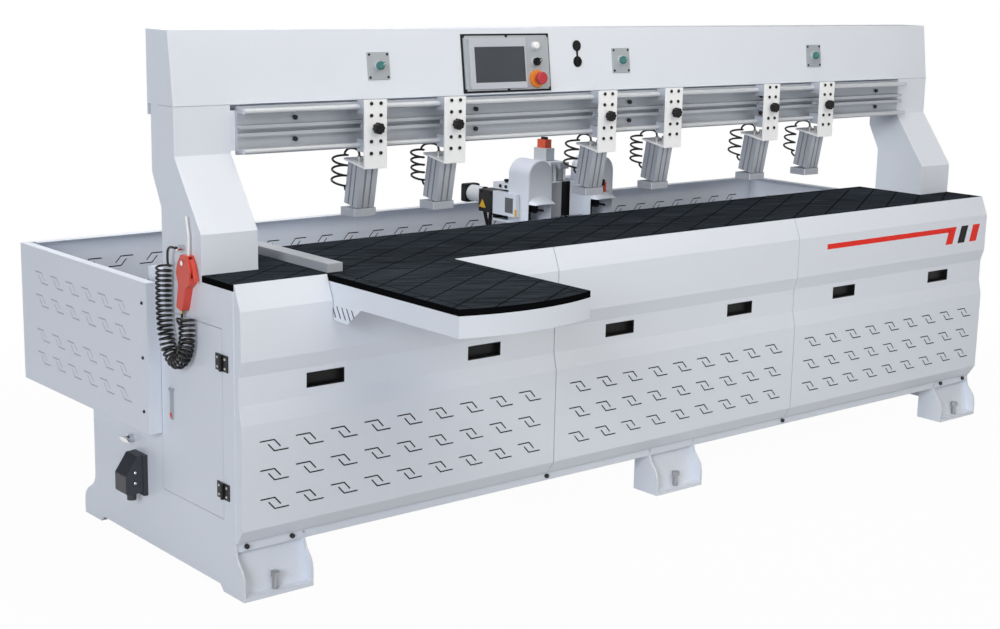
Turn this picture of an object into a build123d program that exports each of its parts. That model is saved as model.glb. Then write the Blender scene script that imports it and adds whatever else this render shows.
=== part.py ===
from build123d import *
import os
from math import atan2, cos, degrees, radians, sin, tan

# Side hole drilling machine. Millimetres, X along the machine, Y to the back, Z up from the floor.
# The origin is on the floor, in the middle of the length and of the depth.

# Overall sizes
length = 3400.0              # between the outer faces of the end frames
table_height = 880.0
extension_reach = 623.0      # front edge of the table to the front of the extension
guard_depth = 1250.0         # front edge of the table to the back of the guard
front_y = (extension_reach - guard_depth) / 2    # front edge of the table
table_depth = 463.0
base_depth = 850.0           # front edge of the table to the rear wall of the base
board = 18.0                 # table board
sheet = 2.0                  # folded covers
end_plate = 6.0
gap = 0.3                    # running gap between pieces that move past each other
end_x = length / 2
board_bottom = table_height - board
bed_top = table_height - 240.0
beam_bottom = table_height + 447.0

# Front covers: how far each stretch stands out of the front edge, and its heights
cover_out = 29.0
band_out = 16.0
toe_out = 3.0
cover_shoulder = table_height - 70.0
band_upper = table_height - 208.0
band_top = table_height - 251.0
band_bottom = table_height - 331.0
band_lower = table_height - 385.0
cover_skirt = 198.0
cover_bottom = 159.0
cover_back = front_y + 3.0
cover_seam = end_x / 3       # seams from the middle
cover_gap = 3.0
pull_length = 126.0
pull_height = 43.0
pull_depth = 22.0
pull_offset = 285.0
pull_wall = 3.0
pull_z = (band_top + band_bottom) / 2 + pull_wall

# Vent marks: two bent strokes each
vent_stroke = 4.0
vent_reach = 46.0
vent_height = 16.0
vent_tip = (20.0, -6.0)
vent_pitch_x = length / 29.5
vent_pitch_z = 82.5
vent_columns = 9
vent_rows = 3
vent_z = (band_lower + cover_skirt) / 2

# End frames and columns
column_width = 179.0
column_wall = 5.0
column_front = front_y + 166.0
column_head_front = front_y + 308.0
column_back = front_y + 385.0
column_head_back = front_y + 435.0
column_knee_front = (table_height + 111.0, beam_bottom - 137.0)
column_knee_back = (table_height + 161.0, beam_bottom - 190.0)
rear_step_y = front_y + 470.0
base_back = front_y + base_depth
column_inner = end_x - column_width

# Feet
foot_width = 217.0
foot_top = 130.0
foot_plate = 12.0
foot_cheek = 8.0
front_toe = 43.0             # toe in front of the end plate's front edge
rear_toe = 77.0
foot_length = 110.0
foot_lip = 40.0              # straight part of the toe
slope_reach = 0.7            # share of the toe that the sloping plate reaches
sill_rise = 18.0
bolt_shank_r = 8.0
bolt_head_width = 24.0
bolt_head = 13.0
level_bolt_top = 62.0
level_bolt_inset = 20.0

# Base frame
rail_width = 60.0
rail_height = 100.0
rail_front = front_y + 5.0
table_rail_back = front_y + 480.0
table_rail_width = 80.0
table_rail_tongue = 10.0     # back edge of the table rail, between the columns
bed_front = front_y + 560.0
bed_back = base_back - 5.0
bed_thickness = 80.0
bulkhead = 10.0
hatch = (300.0, 260.0)       # cable hatch in each bulkhead
hatch_shift = 60.0           # its middle behind the front edge of the bed
arm_size = 40.0

# Extension table
extension_low = -end_x + 300.0
extension_width = 447.0
extension_sagitta = 38.0
apron = 58.0
apron_wall = 3.0
gusset_reach = 165.0
gusset_drop = 47.0
gusset_foot = 100.0
gusset = 4.0
gusset_slots = 5
gusset_slot = 38.0
gusset_slot_lean = 60.0

# Side fence
fence_low = extension_low + 10.0
fence_width = 50.0
fence_height = 25.0
fence_front = front_y + 15.0
fence_wall = 3.0

# Rear guard
guard_x = end_x + 43.0
guard_front = front_y + 406.0
guard_back = front_y + guard_depth
guard_low = bed_top - 260.0
guard_top = table_height - 55.0
guard_flange = 30.0
guard_pitch = (109.0, 74.0)
guard_columns = 6
guard_row_split = 93.0
back_columns = 28
back_shift = 47.0            # middle of the back wall's marks from the machine's middle

# Control beam
beam_top = beam_bottom + 206.0
beam_lean = 27.0             # how far the front face leans back
beam_back = front_y + 455.0
beam_skirt = beam_bottom - 31.0
beam_wall = 3.0
carrier_depth = 80.0

# Clamp rail and guide rods
rail_end_clear = 15.0
rail_length = 2 * (column_inner - rail_end_clear)
rail_z = beam_bottom - 73.0
rail_tall = 136.0
rail_web = 11.0
rod_r = 8.0
rod_spread = 56.0            # rods above and below the middle of the rail
rod_out = 47.0               # rod centre in front of the rail's back
arm_thickness = 12.0
lip_out = 33.0
lip_z = 12.0
lip_thickness = 8.0
rail_bolt_pitch = 670.0
rail_bolt_shift = 25.0
rail_bolt_z = 31.0
rail_bolt_r = 7.0
cover_bolt_inset = 35.0
rail_back = column_head_front
rod_y = rail_back - rod_out

# Clamps
clamp_x = [-1086.0, -789.0, -150.0, 160.0, 663.0, 971.0]
bracket_width = 80.0
bracket_plate = 6.0
bracket_front = front_y + 215.0
bracket_top = rail_z + 80.0
bracket_bottom = rail_z - 123.0
bracket_reach = 110.0
cylinder_seat = 64.0         # from the bracket's bend to the cylinder's middle
clamp_tilt = 10.0
slider_width = 60.0
slider_half = 19.0
cylinder_size = (64.0, 66.0)
cylinder_length = 130.0
groove = (6.0, 1.5)
groove_pitch = 22.0
foot_pad = (82.0, 72.0, 24.0)
piston_rod_r = 8.0
piston_rod_length = 112.0
pad_gap = 1.5
knob_r = 17.0
knob_thickness = 18.0
knob_collar_r = 10.0
knob_stud_r = 5.0
knob_foot_r = 14.0
knob_front = front_y + 190.0
knob_lobes = 8
knob_lobe_arc = 0.3          # share of a lobe's pitch at full radius
knob_valley = (0.65, 0.87)   # where the valley is, and its share of the radius
knob_z = rail_z - 3.0
port_r = 7.0
port_height = 16.0

# Control panel on the front face of the beam
panel_lean = degrees(atan2(beam_lean, beam_top - beam_bottom))
hmi_at = (-503.0, 98.0)
hmi_gasket = (362.0, 184.0, 3.0)
hmi_plate = (350.0, 172.0, 4.0)
bezel_at = (-545.0, 97.0)
bezel = (232.0, 160.0, 6.0)
screen_at = (-538.0, 93.0)
screen = (206.0, 112.0, 2.0)
control_u = -388.0
start_v = 150.0
selector_v = 99.0
stop_v = 45.0
ring_r = 15.0
ring_height = 5.0
button_r = 11.0
button_out = 24.0
button_travel = 4.0
stop_ring_r = 28.0
stop_ring = 10.0
stop_head_r = 20.0
stop_head = (28.0, 44.0)
selector_r = 13.0
selector_skirt = 9.0
selector_grip = (24.0, 9.0, 20.0)
selector_turn = 45.0
switch_x = [-1004.0, 0.0, 1004.0]
switch_v = 98.0
switch_plate = (80.0, 82.0, 3.0)
usb_u = -197.0
usb_v = (97.0, 149.0)
usb_r = 13.0
usb_out = 8.0
usb_slot = (13.0, 4.5)
usb_slot_pitch = 9.0

# Cabinet door, hinges and latch on the left end
door_front = front_y + 63.5
door_back = front_y + 405.0
door_low = 213.0
door_high = table_height - 131.0
door_gap = 1.5
door_thickness = 4.0
hinge_r = 5.0
hinge_pin_r = 2.5
hinge_height = 46.0
hinge_leaf = 32.0
hinge_leaf_thickness = 3.0
hinge_z = (door_low + 82.0, door_high - 92.0)
hinge_out = 6.0
hinge_y = front_y + 61.5
latch_y = front_y + 343.0
latch_z = (door_low + door_high) / 2
latch_width = 13.0
latch_height = 90.0
latch_out = 5.0
latch_button = (9.0, 13.0)
latch_pin_r = 1.5
latch_lug = 4.0

# Power connector and air valve on the left end
connector_y = front_y + 540.0
connector_z = 228.0
connector = (70.0, 76.0, 124.0)
connector_plate = 14.0
connector_hood = 68.0        # width of the hood on the plate
connector_hood_low = 52.0    # its lower edge below the middle
connector_nose = (32.0, 6.0)  # depth of the hood's upper edge, and height where its top starts to slant
connector_corner = 8.0
connector_gland_r = 14.0
valve_y = front_y + 596.0
valve_z = 320.0

# Control gear behind the door
gear_plate = (8.0, 300.0, 360.0)
gear_y = front_y + 240.0
gear_z = 420.0
gear_pitch = (94.0, 112.0)
gear_box = (75.0, 90.0)
gear_depths = (45.0, 90.0, 90.0)

# Drilling unit: sizes along X and Y are taken from the middle between the two drills
unit_x = -41.0
drill_pitch = 290.0
hood_width = 110.0
hood_front = front_y + 500.0
hood_depth = 106.0
spindle_z = table_height + 25.0
hood_top = spindle_z + 172.0
hood_low = spindle_z - 45.0
hood_wall = 3.0
hood_edge = 6.0
visor_lip = spindle_z + 22.0
visor_out = 30.0
visor_rise = 31.0
visor_half = (53.0, 46.0)    # half its width at the hood and at its lip
shelf = 8.0
shelf_back = front_y + 690.0
bridge = 16.0
bridge_y = front_y + 540.0
bridge_z = (spindle_z - 37.0, spindle_z + 85.0)
bridge_channel = (40.0, 10.0)
bridge_channel_x = unit_x + 8.0
drill_motor_r = 36.0
drill_motor = (70.0, 100.0)  # front face behind the hood's front face, and length
motor_foot = 40.0
motor_cover = 22.0
motor_cover_clear = 5.0      # between a motor and the cover above it
chuck_r = 14.0
chuck_length = 45.0
bit_r = 4.0
bit_length = 40.0
drive_out = 69.0             # left face of the feed drive from the axis of the left drill
drive_box = (29.0, 127.0)    # width and length of its belt case
drive_block = (59.0, 80.0)   # width and length of the block behind the case
drive_step = 1.5             # the block's face behind the case's face
drive_front = front_y + 547.0
drive_z = (spindle_z - 27.0, spindle_z + 53.0)
drive_foot = 14.0
drive_motor_r = 29.0
drive_motor_length = 71.0
drive_motor_at = (30.0, 54.0)  # motor axis from the drive's left face and from its bottom
drive_cap = (65.0, 25.0)
column_size = (70.0, 110.0)
column_face = front_y + 575.0
z_column_top = spindle_z + 151.0
z_motor = (38.0, 67.0, 44.0)
z_cap = (29.0, 43.0, 30.0)
limit_block = (40.0, 23.0, 22.0)
limit_post = (18.0, 9.0, 40.0)
z_rail = (12.0, 9.0)
z_rail_offset = 22.0

# Saddle and the rails that it runs on
x_rail = (23.0, 24.0)
x_rail_y = (front_y + 610.0, front_y + 800.0)
x_rail_length = length - 100.0
rack = (22.0, 22.0)
rack_y = front_y + 711.0
saddle_low = bed_top + 32.0
saddle = 24.0
saddle_x = (-300.0, 220.0)
saddle_y = (front_y + 520.0, front_y + 900.0)
truck_length = 90.0
truck_width = 60.0
truck_low = bed_top + 6.0
drive_case = 60.0
x_motor = (90.0, 150.0)
cover_top = saddle_low + 168.0

# Blow gun on the left column: outlines as distance behind the front edge, and height
gun_thickness = 24.0
gun_outline = [(238, 930), (205, 930), (188, 890), (192, 852), (214, 838), (226, 800), (236, 770), (268, 778),
               (262, 805), (254, 845), (266, 876), (256, 905)]
gun_corner = 7.0
gun_nozzle = [(215, 922), (213, 985), (225, 1036)]
nozzle_r = 3.5
nozzle_bend = 30.0
trigger_outline = [(207, 920), (208, 908), (191, 899), (177, 862), (171, 864), (184, 905), (196, 921)]
trigger_width = 12.0
trigger_pivot = (202.0, 913.0)
trigger_pin_r = 2.0
trigger_slot = ((160, 870), (214, 927))
inlet_r = 6.0
inlet_length = 12.0
peg_r = 4.0
peg_head_r = 7.0
peg_head = 4.0
peg_at = (226.0, 908.0)
gun_x = -end_x - gun_thickness / 2
inlet_corners = (gun_outline[6], gun_outline[7])

# Its curly hose: a fat tube for the coil and a thin one at each end
coil_r = 24.0
hose_r = 3.5
coil_clear = 4.0             # between the coil and the end frame
hose_gland_r = 8.0
hose_gland = (258.0, 945.0)
hose_lead = [(258, 945), (282, 947), (303, 937), (313, 915), (309, 889)]
coil_route = [(326, 892), (329, 850), (331, 800), (330, 748), (324, 694), (302, 645), (262, 622), (222, 643),
              (202, 690), (202, 732), (207, 768)]
tail_step = 12.0             # the tail leaves the gun downwards and turns forward in equal steps
tail_turn = 30.0
tail_steps = 5
coil_x = -end_x - coil_clear - coil_r

os.makedirs("parts", exist_ok=True)


def save(piece, name):
    """Label a finished piece and write it."""
    piece.part.label = name
    export_step(piece.part, f"parts/{name}.step")


def block(low, high, mode=Mode.ADD):
    """A box between two corners, joined to or cut from the piece being built."""
    middle = [(a + b) / 2 for a, b in zip(low, high)]
    with Locations(tuple(middle)):
        Box(*[b - a for a, b in zip(low, high)], mode=mode)


def facing_front(x, y, z):
    """A plane that faces the front, with X to the right and Z up."""
    return Plane((x, y, z), x_dir=(1, 0, 0), z_dir=(0, -1, 0))


def facing_left(x, y, z):
    """A plane that faces the left end, with the front of the machine on its right."""
    return Plane((x, y, z), x_dir=(0, -1, 0), z_dir=(-1, 0, 0))


def on_panel(u, v, out=0.0):
    """A plane on the leaning front face of the beam, u along X and v up from its lower edge."""
    lean = radians(panel_lean)
    normal = Vector(0, -cos(lean), sin(lean))
    up = Vector(0, sin(lean), cos(lean))
    origin = Vector(0, column_head_front, beam_bottom) + Vector(u, 0, 0) + up * v + normal * out
    return Plane(origin, x_dir=(1, 0, 0), z_dir=normal)


def stroke(start, corner, end, width):
    """The outline of a bent stroke with a mitred corner."""
    a, b, c = Vector(*start), Vector(*corner), Vector(*end)
    first = (b - a).normalized()
    second = (c - b).normalized()
    side_1 = Vector(-first.Y, first.X)
    side_2 = Vector(-second.Y, second.X)
    mitre = (side_1 + side_2) * (1 / (1 + side_1.dot(side_2)))
    half = width / 2
    left = [a + side_1 * half, b + mitre * half, c + side_2 * half]
    right = [c - side_2 * half, b - mitre * half, a - side_1 * half]
    return left + right


def vent_mark():
    """One vent mark: two bent strokes, each the other turned half round."""
    start = (-vent_reach, vent_height)
    corner = (0, vent_height)
    outline = stroke(start, corner, vent_tip, vent_stroke)
    Polygon(*outline)
    Polygon(*[point * -1 for point in outline])


# Front covers
def cover_outline(inset, top, bottom):
    """The cover's front profile, closed along its back edge."""
    profile = [
        (0, top),
        (-cover_out, cover_shoulder),
        (-cover_out, band_upper),
        (-band_out, band_top),
        (-band_out, band_bottom),
        (-cover_out, band_lower),
        (-cover_out, cover_skirt),
        (-toe_out, bottom),
    ]
    points = [(front_y + y + inset, z) for y, z in profile]
    back = cover_back + inset
    return points + [(back, bottom), (back, top)]


def front_cover(x_low, x_high):
    """A folded cover with vent marks and windows for its two pulls."""
    middle = (x_low + x_high) / 2
    with BuildPart() as cover:
        with BuildSketch(Plane.YZ.offset(x_low)):
            Polygon(*cover_outline(0, table_height, cover_bottom))
        extrude(amount=x_high - x_low)
        with BuildSketch(Plane.YZ.offset(x_low + sheet)):
            Polygon(*cover_outline(sheet, table_height - sheet, cover_bottom + sheet))
        extrude(amount=x_high - x_low - 2 * sheet, mode=Mode.SUBTRACT)
        with BuildSketch(facing_front(middle, front_y - cover_out - sheet, vent_z)):
            with GridLocations(vent_pitch_x, vent_pitch_z, vent_columns, vent_rows):
                vent_mark()
        extrude(amount=-3 * sheet, mode=Mode.SUBTRACT)
        with BuildSketch(facing_front(middle, front_y - band_out - sheet, pull_z)):
            with GridLocations(2 * pull_offset, 1, 2, 1):
                Rectangle(pull_length, pull_height)
        extrude(amount=-3 * sheet, mode=Mode.SUBTRACT)
    return cover


cover_end = end_x - cover_gap
cover_half_gap = cover_gap / 2
extension_high = extension_low + extension_width
extension_bottom = board_bottom - apron
gusset_x = (extension_low, extension_high - gusset)
gusset_low = extension_bottom - gusset_drop

plain_left_cover = front_cover(-cover_end, -cover_seam - cover_half_gap)
with BuildPart() as front_cover_left:
    add(plain_left_cover.part)
    notch_y = (front_y - cover_out - sheet, cover_back + sheet)
    block(
        (extension_low - sheet, notch_y[0], extension_bottom - sheet),
        (extension_high + sheet, notch_y[1], table_height + sheet),
        mode=Mode.SUBTRACT,
    )
    for x in gusset_x:
        block(
            (x - sheet, notch_y[0], gusset_low - sheet),
            (x + gusset + sheet, notch_y[1], extension_bottom),
            mode=Mode.SUBTRACT,
        )
save(front_cover_left, "front_cover_left")

front_cover_middle = front_cover(-cover_seam + cover_half_gap, cover_seam - cover_half_gap)
save(front_cover_middle, "front_cover_middle")

front_cover_right = front_cover(cover_seam + cover_half_gap, cover_end)
save(front_cover_right, "front_cover_right")

cover_middles = [-(cover_end + cover_seam) / 2, 0.0, (cover_end + cover_seam) / 2]
cover_middles[0] -= cover_half_gap / 2
cover_middles[2] += cover_half_gap / 2
pull_places = [(x + side * pull_offset, pull_z) for x in cover_middles for side in (-1, 1)]
with BuildPart() as cover_pulls:
    with BuildSketch(facing_front(0, front_y - band_out, 0)):
        with Locations(*pull_places):
            Rectangle(pull_length, pull_height)
    extrude(amount=-pull_depth)
    with BuildSketch(facing_front(0, front_y - band_out, 0)):
        with Locations(*pull_places):
            Rectangle(pull_length - 2 * pull_wall, pull_height - 2 * pull_wall)
    extrude(amount=-(pull_depth - pull_wall), mode=Mode.SUBTRACT)
save(cover_pulls, "cover_pulls")


# Feet and end frames
def foot_edge(face, toe):
    """The ogee edge of a foot, from the frame's face down to the floor."""
    middle = (foot_top + foot_lip) / 2
    start = (face, foot_top + foot_lip / 2)
    end = (face + toe, foot_lip)
    Bezier(start, (face, middle), (face + toe, middle + foot_lip / 2), end)
    Line(end, (face + toe, 0))


def foot_cheek_plate(x, face, toe):
    """One cheek of a foot, a plate with the ogee edge."""
    heel = face + toe - (foot_length if toe > 0 else -foot_length)
    with BuildSketch(Plane.YZ.offset(x)) as cheek:
        with BuildLine():
            foot_edge(face, toe)
            Polyline(
                (face + toe, 0),
                (heel, 0),
                (heel, foot_top),
                (face, foot_top),
                (face, foot_top + foot_lip / 2),
            )
        make_face()
    extrude(cheek.sketch, amount=foot_cheek)


def foot_floor(x_low, x_high, face, toe):
    """The sloping face and the base plate of a foot, with its levelling bolt."""
    heel = face + toe - (foot_length if toe > 0 else -foot_length)
    low, high = sorted((face + toe, heel))
    block((x_low, low, 0), (x_high, high, foot_plate))
    inward = -1 if toe > 0 else 1
    top = face + inward * rail_width / 4
    with BuildSketch(Plane.YZ.offset(x_low)) as slope:
        Polygon(
            (top, foot_top),
            (top + inward * foot_cheek, foot_top),
            (top + toe * slope_reach + inward * foot_cheek, foot_plate),
            (top + toe * slope_reach, foot_plate),
        )
    extrude(slope.sketch, amount=x_high - x_low)
    bolt_x = (x_low + x_high) / 2
    bolt_y = face + toe + inward * level_bolt_inset
    with Locations((bolt_x, bolt_y, level_bolt_top / 2)):
        Cylinder(bolt_shank_r, level_bolt_top)
    with BuildSketch(Plane.XY.offset(level_bolt_top - bolt_head)) as head:
        with Locations((bolt_x, bolt_y)):
            RegularPolygon(bolt_head_width / 2, 6, major_radius=False)
    extrude(head.sketch, amount=bolt_head)


plate_front = cover_back
toes = [(plate_front, -front_toe), (base_back, rear_toe)]

column_outline = [
    (column_front, board_bottom),
    (column_front, column_knee_front[0]),
    (column_head_front, column_knee_front[1]),
    (column_head_front, beam_bottom),
    (column_head_back, beam_bottom),
    (column_head_back, column_knee_back[1]),
    (column_back, column_knee_back[0]),
    (column_back, board_bottom),
]


def end_frame(side):
    """End plate with the ogee feet, the bent column above it and the inner cheeks of its feet."""
    outer = side * end_x
    inner = side * (end_x - end_plate)
    plate_low = min(outer, inner)
    with BuildPart() as frame:
        with BuildSketch(Plane.YZ.offset(plate_low)):
            with BuildLine():
                foot_edge(plate_front, -front_toe)
                Polyline(
                    (plate_front - front_toe, 0),
                    (plate_front - front_toe + foot_length, 0),
                    (plate_front - front_toe + foot_length + sill_rise, sill_rise),
                    (base_back + rear_toe - foot_length - sill_rise, sill_rise),
                    (base_back + rear_toe - foot_length, 0),
                    (base_back + rear_toe, 0),
                )
                foot_edge(base_back, rear_toe)
                Polyline(
                    (base_back, foot_top + foot_lip / 2),
                    (base_back, bed_top),
                    (rear_step_y, bed_top),
                    (rear_step_y, board_bottom),
                    *reversed(column_outline),
                    (plate_front, board_bottom),
                    (plate_front, foot_top + foot_lip / 2),
                )
            make_face()
        extrude(amount=end_plate)
        column_low = min(inner, side * column_inner)
        column_span = column_width - end_plate
        with BuildSketch(Plane.YZ.offset(column_low)):
            Polygon(*column_outline)
        extrude(amount=column_span)
        with BuildSketch(Plane.YZ.offset(column_low if side < 0 else column_low + column_wall)):
            Polygon(*column_outline)
            offset(amount=-column_wall, kind=Kind.INTERSECTION, mode=Mode.REPLACE)
        extrude(amount=column_span - column_wall, mode=Mode.SUBTRACT)
        cheek = side * (end_x - foot_width)
        for face, toe in toes:
            foot_cheek_plate(cheek if side < 0 else cheek - foot_cheek, face, toe)
            low, high = sorted((inner, cheek))
            foot_floor(low, high, face, toe)
    return frame


left_plain = end_frame(-1)
with BuildPart() as left_end_frame:
    add(left_plain.part)
    block(
        (-end_x - sheet, door_front - door_gap, door_low - door_gap),
        (-end_x + end_plate + sheet, door_back + door_gap, door_high + door_gap),
        mode=Mode.SUBTRACT,
    )
    with BuildSketch(facing_left(-end_x, front_y, 0)):
        with Locations((-peg_at[0], peg_at[1])):
            Circle(peg_r)
    extrude(amount=gun_thickness + gap)
    with BuildSketch(facing_left(-end_x - gun_thickness - gap, front_y, 0)):
        with Locations((-peg_at[0], peg_at[1])):
            Circle(peg_head_r)
    extrude(amount=peg_head)
    with BuildSketch(facing_left(-end_x, front_y, 0)):
        with Locations((-hose_gland[0], hose_gland[1])):
            Circle(hose_gland_r)
    extrude(amount=coil_clear + coil_r - hose_r)
save(left_end_frame, "left_end_frame")

right_end_frame = end_frame(1)
save(right_end_frame, "right_end_frame")

# Base frame: long rails, the bed of the drilling unit, two bulkheads, the middle feet and the guard's arms
frame_x = end_x - end_plate
with BuildPart() as base_frame:
    block((-frame_x, rail_front, foot_top), (frame_x, rail_front + rail_width, foot_top + rail_height))
    block((-frame_x, bed_back - rail_width, foot_top), (frame_x, bed_back, foot_top + rail_height))
    rail_low = board_bottom - rail_height
    block((-frame_x, rail_front, rail_low), (frame_x, rail_front + rail_width, board_bottom))
    table_rail_front = table_rail_back - table_rail_width
    tongue_y = table_rail_back - table_rail_tongue
    block((-frame_x, table_rail_front, rail_low), (frame_x, tongue_y, board_bottom))
    block((-column_inner, tongue_y, rail_low), (column_inner, table_rail_back, board_bottom))
    block((-frame_x, bed_front, bed_top - bed_thickness), (frame_x, bed_back, bed_top))
    for x in (-cover_seam, cover_seam):
        with BuildSketch(Plane.YZ.offset(x - bulkhead / 2)):
            Polygon(
                (rail_front, foot_top),
                (bed_back, foot_top),
                (bed_back, bed_top - bed_thickness),
                (table_rail_back, bed_top - bed_thickness),
                (table_rail_back, board_bottom),
                (rail_front, board_bottom),
            )
            with Locations((bed_front + hatch_shift, (foot_top + bed_top) / 2)):
                RectangleRounded(*hatch, rail_width / 3, mode=Mode.SUBTRACT)
        extrude(amount=bulkhead)
    for x in (-frame_x + arm_size / 2, -cover_seam, cover_seam, frame_x - arm_size / 2):
        block(
            (x - arm_size / 2, bed_back, bed_top - arm_size),
            (x + arm_size / 2, guard_back - sheet, bed_top),
        )
    for face, toe in toes:
        foot_cheek_plate(-foot_width / 2, face, toe)
        foot_cheek_plate(foot_width / 2 - foot_cheek, face, toe)
        foot_floor(-foot_width / 2, foot_width / 2, face, toe)
save(base_frame, "base_frame")

# Table: the main board goes round the columns, the extension has a bowed front edge
seam = 1.0
corner_y = front_y - extension_reach + extension_sagitta
bow_y = front_y - extension_reach
middle_x = (extension_low + extension_high) / 2
with BuildPart() as table_top:
    with BuildSketch(Plane.XY.offset(board_bottom)):
        Polygon(
            (-end_x, cover_back),
            (end_x, cover_back),
            (end_x, column_front - seam),
            (column_inner - seam, column_front - seam),
            (column_inner - seam, front_y + table_depth),
            (-column_inner + seam, front_y + table_depth),
            (-column_inner + seam, column_front - seam),
            (-end_x, column_front - seam),
        )
    extrude(amount=board)
    with BuildSketch(Plane.XY.offset(board_bottom)):
        with BuildLine():
            Polyline(
                (extension_high, corner_y),
                (extension_high, cover_back + board),
                (extension_low, cover_back + board),
                (extension_low, corner_y),
            )
            ThreePointArc((extension_low, corner_y), (middle_x, bow_y), (extension_high, corner_y))
        make_face()
    extrude(amount=board)
save(table_top, "table_top")

with BuildPart() as extension_table:
    with BuildSketch(Plane.XY.offset(extension_bottom)) as apron_outline:
        with BuildLine():
            Polyline(
                (extension_high, corner_y),
                (extension_high, rail_front),
                (extension_low, rail_front),
                (extension_low, corner_y),
            )
            ThreePointArc((extension_low, corner_y), (middle_x, bow_y), (extension_high, corner_y))
        make_face()
    extrude(amount=apron)
    with BuildSketch(Plane.XY.offset(extension_bottom)):
        add(apron_outline.sketch.moved(Location((0, 0, -extension_bottom))))
        offset(amount=-apron_wall, kind=Kind.INTERSECTION, mode=Mode.REPLACE)
    extrude(amount=apron - apron_wall, mode=Mode.SUBTRACT)
    for x in gusset_x:
        with BuildSketch(Plane.YZ.offset(x)):
            Polygon(
                (rail_front, extension_bottom),
                (rail_front, gusset_low),
                (rail_front - gusset_foot, gusset_low - gusset),
                (rail_front - gusset_reach, extension_bottom),
            )
            with Locations((rail_front - gusset_reach / 2, extension_bottom - gusset_drop / 2)):
                with GridLocations(gusset_reach / (gusset_slots + 2), 1, gusset_slots, 1):
                    SlotOverall(gusset_slot, gusset, rotation=gusset_slot_lean, mode=Mode.SUBTRACT)
        extrude(amount=gusset)
save(extension_table, "extension_table")

with BuildPart() as side_fence:
    fence_x = fence_low + fence_width / 2
    fence_z = table_height + fence_height / 2
    with BuildSketch(facing_front(fence_x, fence_front, fence_z)):
        Rectangle(fence_width, fence_height)
        Rectangle(fence_width - 2 * fence_wall, fence_height - 2 * fence_wall, mode=Mode.SUBTRACT)
    extrude(amount=-(front_y + table_depth - fence_front))
    block(
        (fence_low, fence_front, table_height),
        (fence_low + fence_width, fence_front + fence_wall, table_height + fence_height),
    )
save(side_fence, "side_fence")


# Rear guard
guard_rows = [
    (guard_low + guard_top) / 2 + half * (guard_row_split + step * guard_pitch[1])
    for half in (-1, 1)
    for step in (-0.5, 0.5)
]


def guard_side(side):
    """Side wall of the guard: a folded sheet with four rows of vent marks."""
    wall_out = side * guard_x
    wall_in = side * (guard_x - sheet)
    flange_in = side * (guard_x - guard_flange)
    with BuildPart() as wall:
        low, high = sorted((wall_out, wall_in))
        block((low, guard_front, guard_low), (high, guard_back, guard_top))
        low, high = sorted((wall_in, side * end_x))
        block((low, guard_front, guard_low), (high, guard_front + sheet, guard_top))
        low, high = sorted((wall_in, flange_in))
        for z in (guard_low, guard_top - sheet):
            block((low, guard_front, z), (high, guard_back - sheet, z + sheet))
        middle_y = (guard_front + guard_back) / 2
        with BuildSketch(facing_left(wall_out, middle_y, 0)):
            for z in guard_rows:
                with Locations((0, z)):
                    with GridLocations(guard_pitch[0], 1, guard_columns, 1):
                        vent_mark()
        extrude(amount=2 * sheet, both=True, mode=Mode.SUBTRACT)
    return wall


rear_guard_left = guard_side(-1)
save(rear_guard_left, "rear_guard_left")
rear_guard_right = guard_side(1)
save(rear_guard_right, "rear_guard_right")

with BuildPart() as rear_guard_back:
    back_x = guard_x - sheet
    block((-back_x, guard_back - sheet, guard_low), (back_x, guard_back, guard_top))
    for z in (guard_low, guard_top - sheet):
        block((-end_x, guard_back - guard_flange, z), (end_x, guard_back - sheet, z + sheet))
    with BuildSketch(Plane((back_shift, guard_back, 0), x_dir=(-1, 0, 0), z_dir=(0, 1, 0))):
        for z in guard_rows[-2:]:
            with Locations((0, z)):
                with GridLocations(vent_pitch_x, 1, back_columns, 1):
                    vent_mark()
    extrude(amount=2 * sheet, both=True, mode=Mode.SUBTRACT)
save(rear_guard_back, "rear_guard_back")

# Control beam: a folded box that leans back at the front, with the tube that carries the clamp rail
with BuildPart() as control_beam:
    beam_front_top = column_head_front + beam_lean
    with BuildSketch(Plane.YZ.offset(-end_x)):
        Polygon(
            (column_head_front, beam_bottom),
            (beam_front_top, beam_top),
            (beam_back, beam_top),
            (beam_back, beam_bottom),
        )
    extrude(amount=length)
    with BuildSketch(Plane.YZ.offset(-end_x + beam_wall)):
        Polygon(
            (column_head_front, beam_bottom),
            (beam_front_top, beam_top),
            (beam_back, beam_top),
            (beam_back, beam_bottom),
        )
        offset(amount=-beam_wall, kind=Kind.INTERSECTION, mode=Mode.REPLACE)
    extrude(amount=length - 2 * beam_wall, mode=Mode.SUBTRACT)
    block((-end_x, beam_back - beam_wall, beam_skirt), (end_x, beam_back, beam_bottom))
    block(
        (-column_inner, rail_back, rail_z - rod_spread),
        (column_inner, rail_back + carrier_depth, rail_z + rod_spread),
    )
save(control_beam, "control_beam")

# Clamp rail: the bars of an aluminium section and two round rods along its edges
rod_zs = (rail_z - rod_spread, rail_z + rod_spread)


def rail_bar(outline):
    """One bar of the section, its corners given in front of the rail's back and above its middle."""
    with BuildPart() as bar:
        with BuildSketch(Plane.YZ.offset(-rail_length / 2)):
            Polygon(*[(rail_back - out, rail_z + up) for out, up in outline])
            with Locations(*[(rod_y, z) for z in rod_zs]):
                Circle(rod_r, mode=Mode.SUBTRACT)
        extrude(amount=rail_length)
    return bar.part.solid()


def rail_rod(z):
    """A round rod along the rail."""
    with BuildPart() as rod:
        with BuildSketch(Plane.YZ.offset(-rail_length / 2)):
            with Locations((rod_y, z)):
                Circle(rod_r)
        extrude(amount=rail_length)
    return rod.part.solid()


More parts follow.
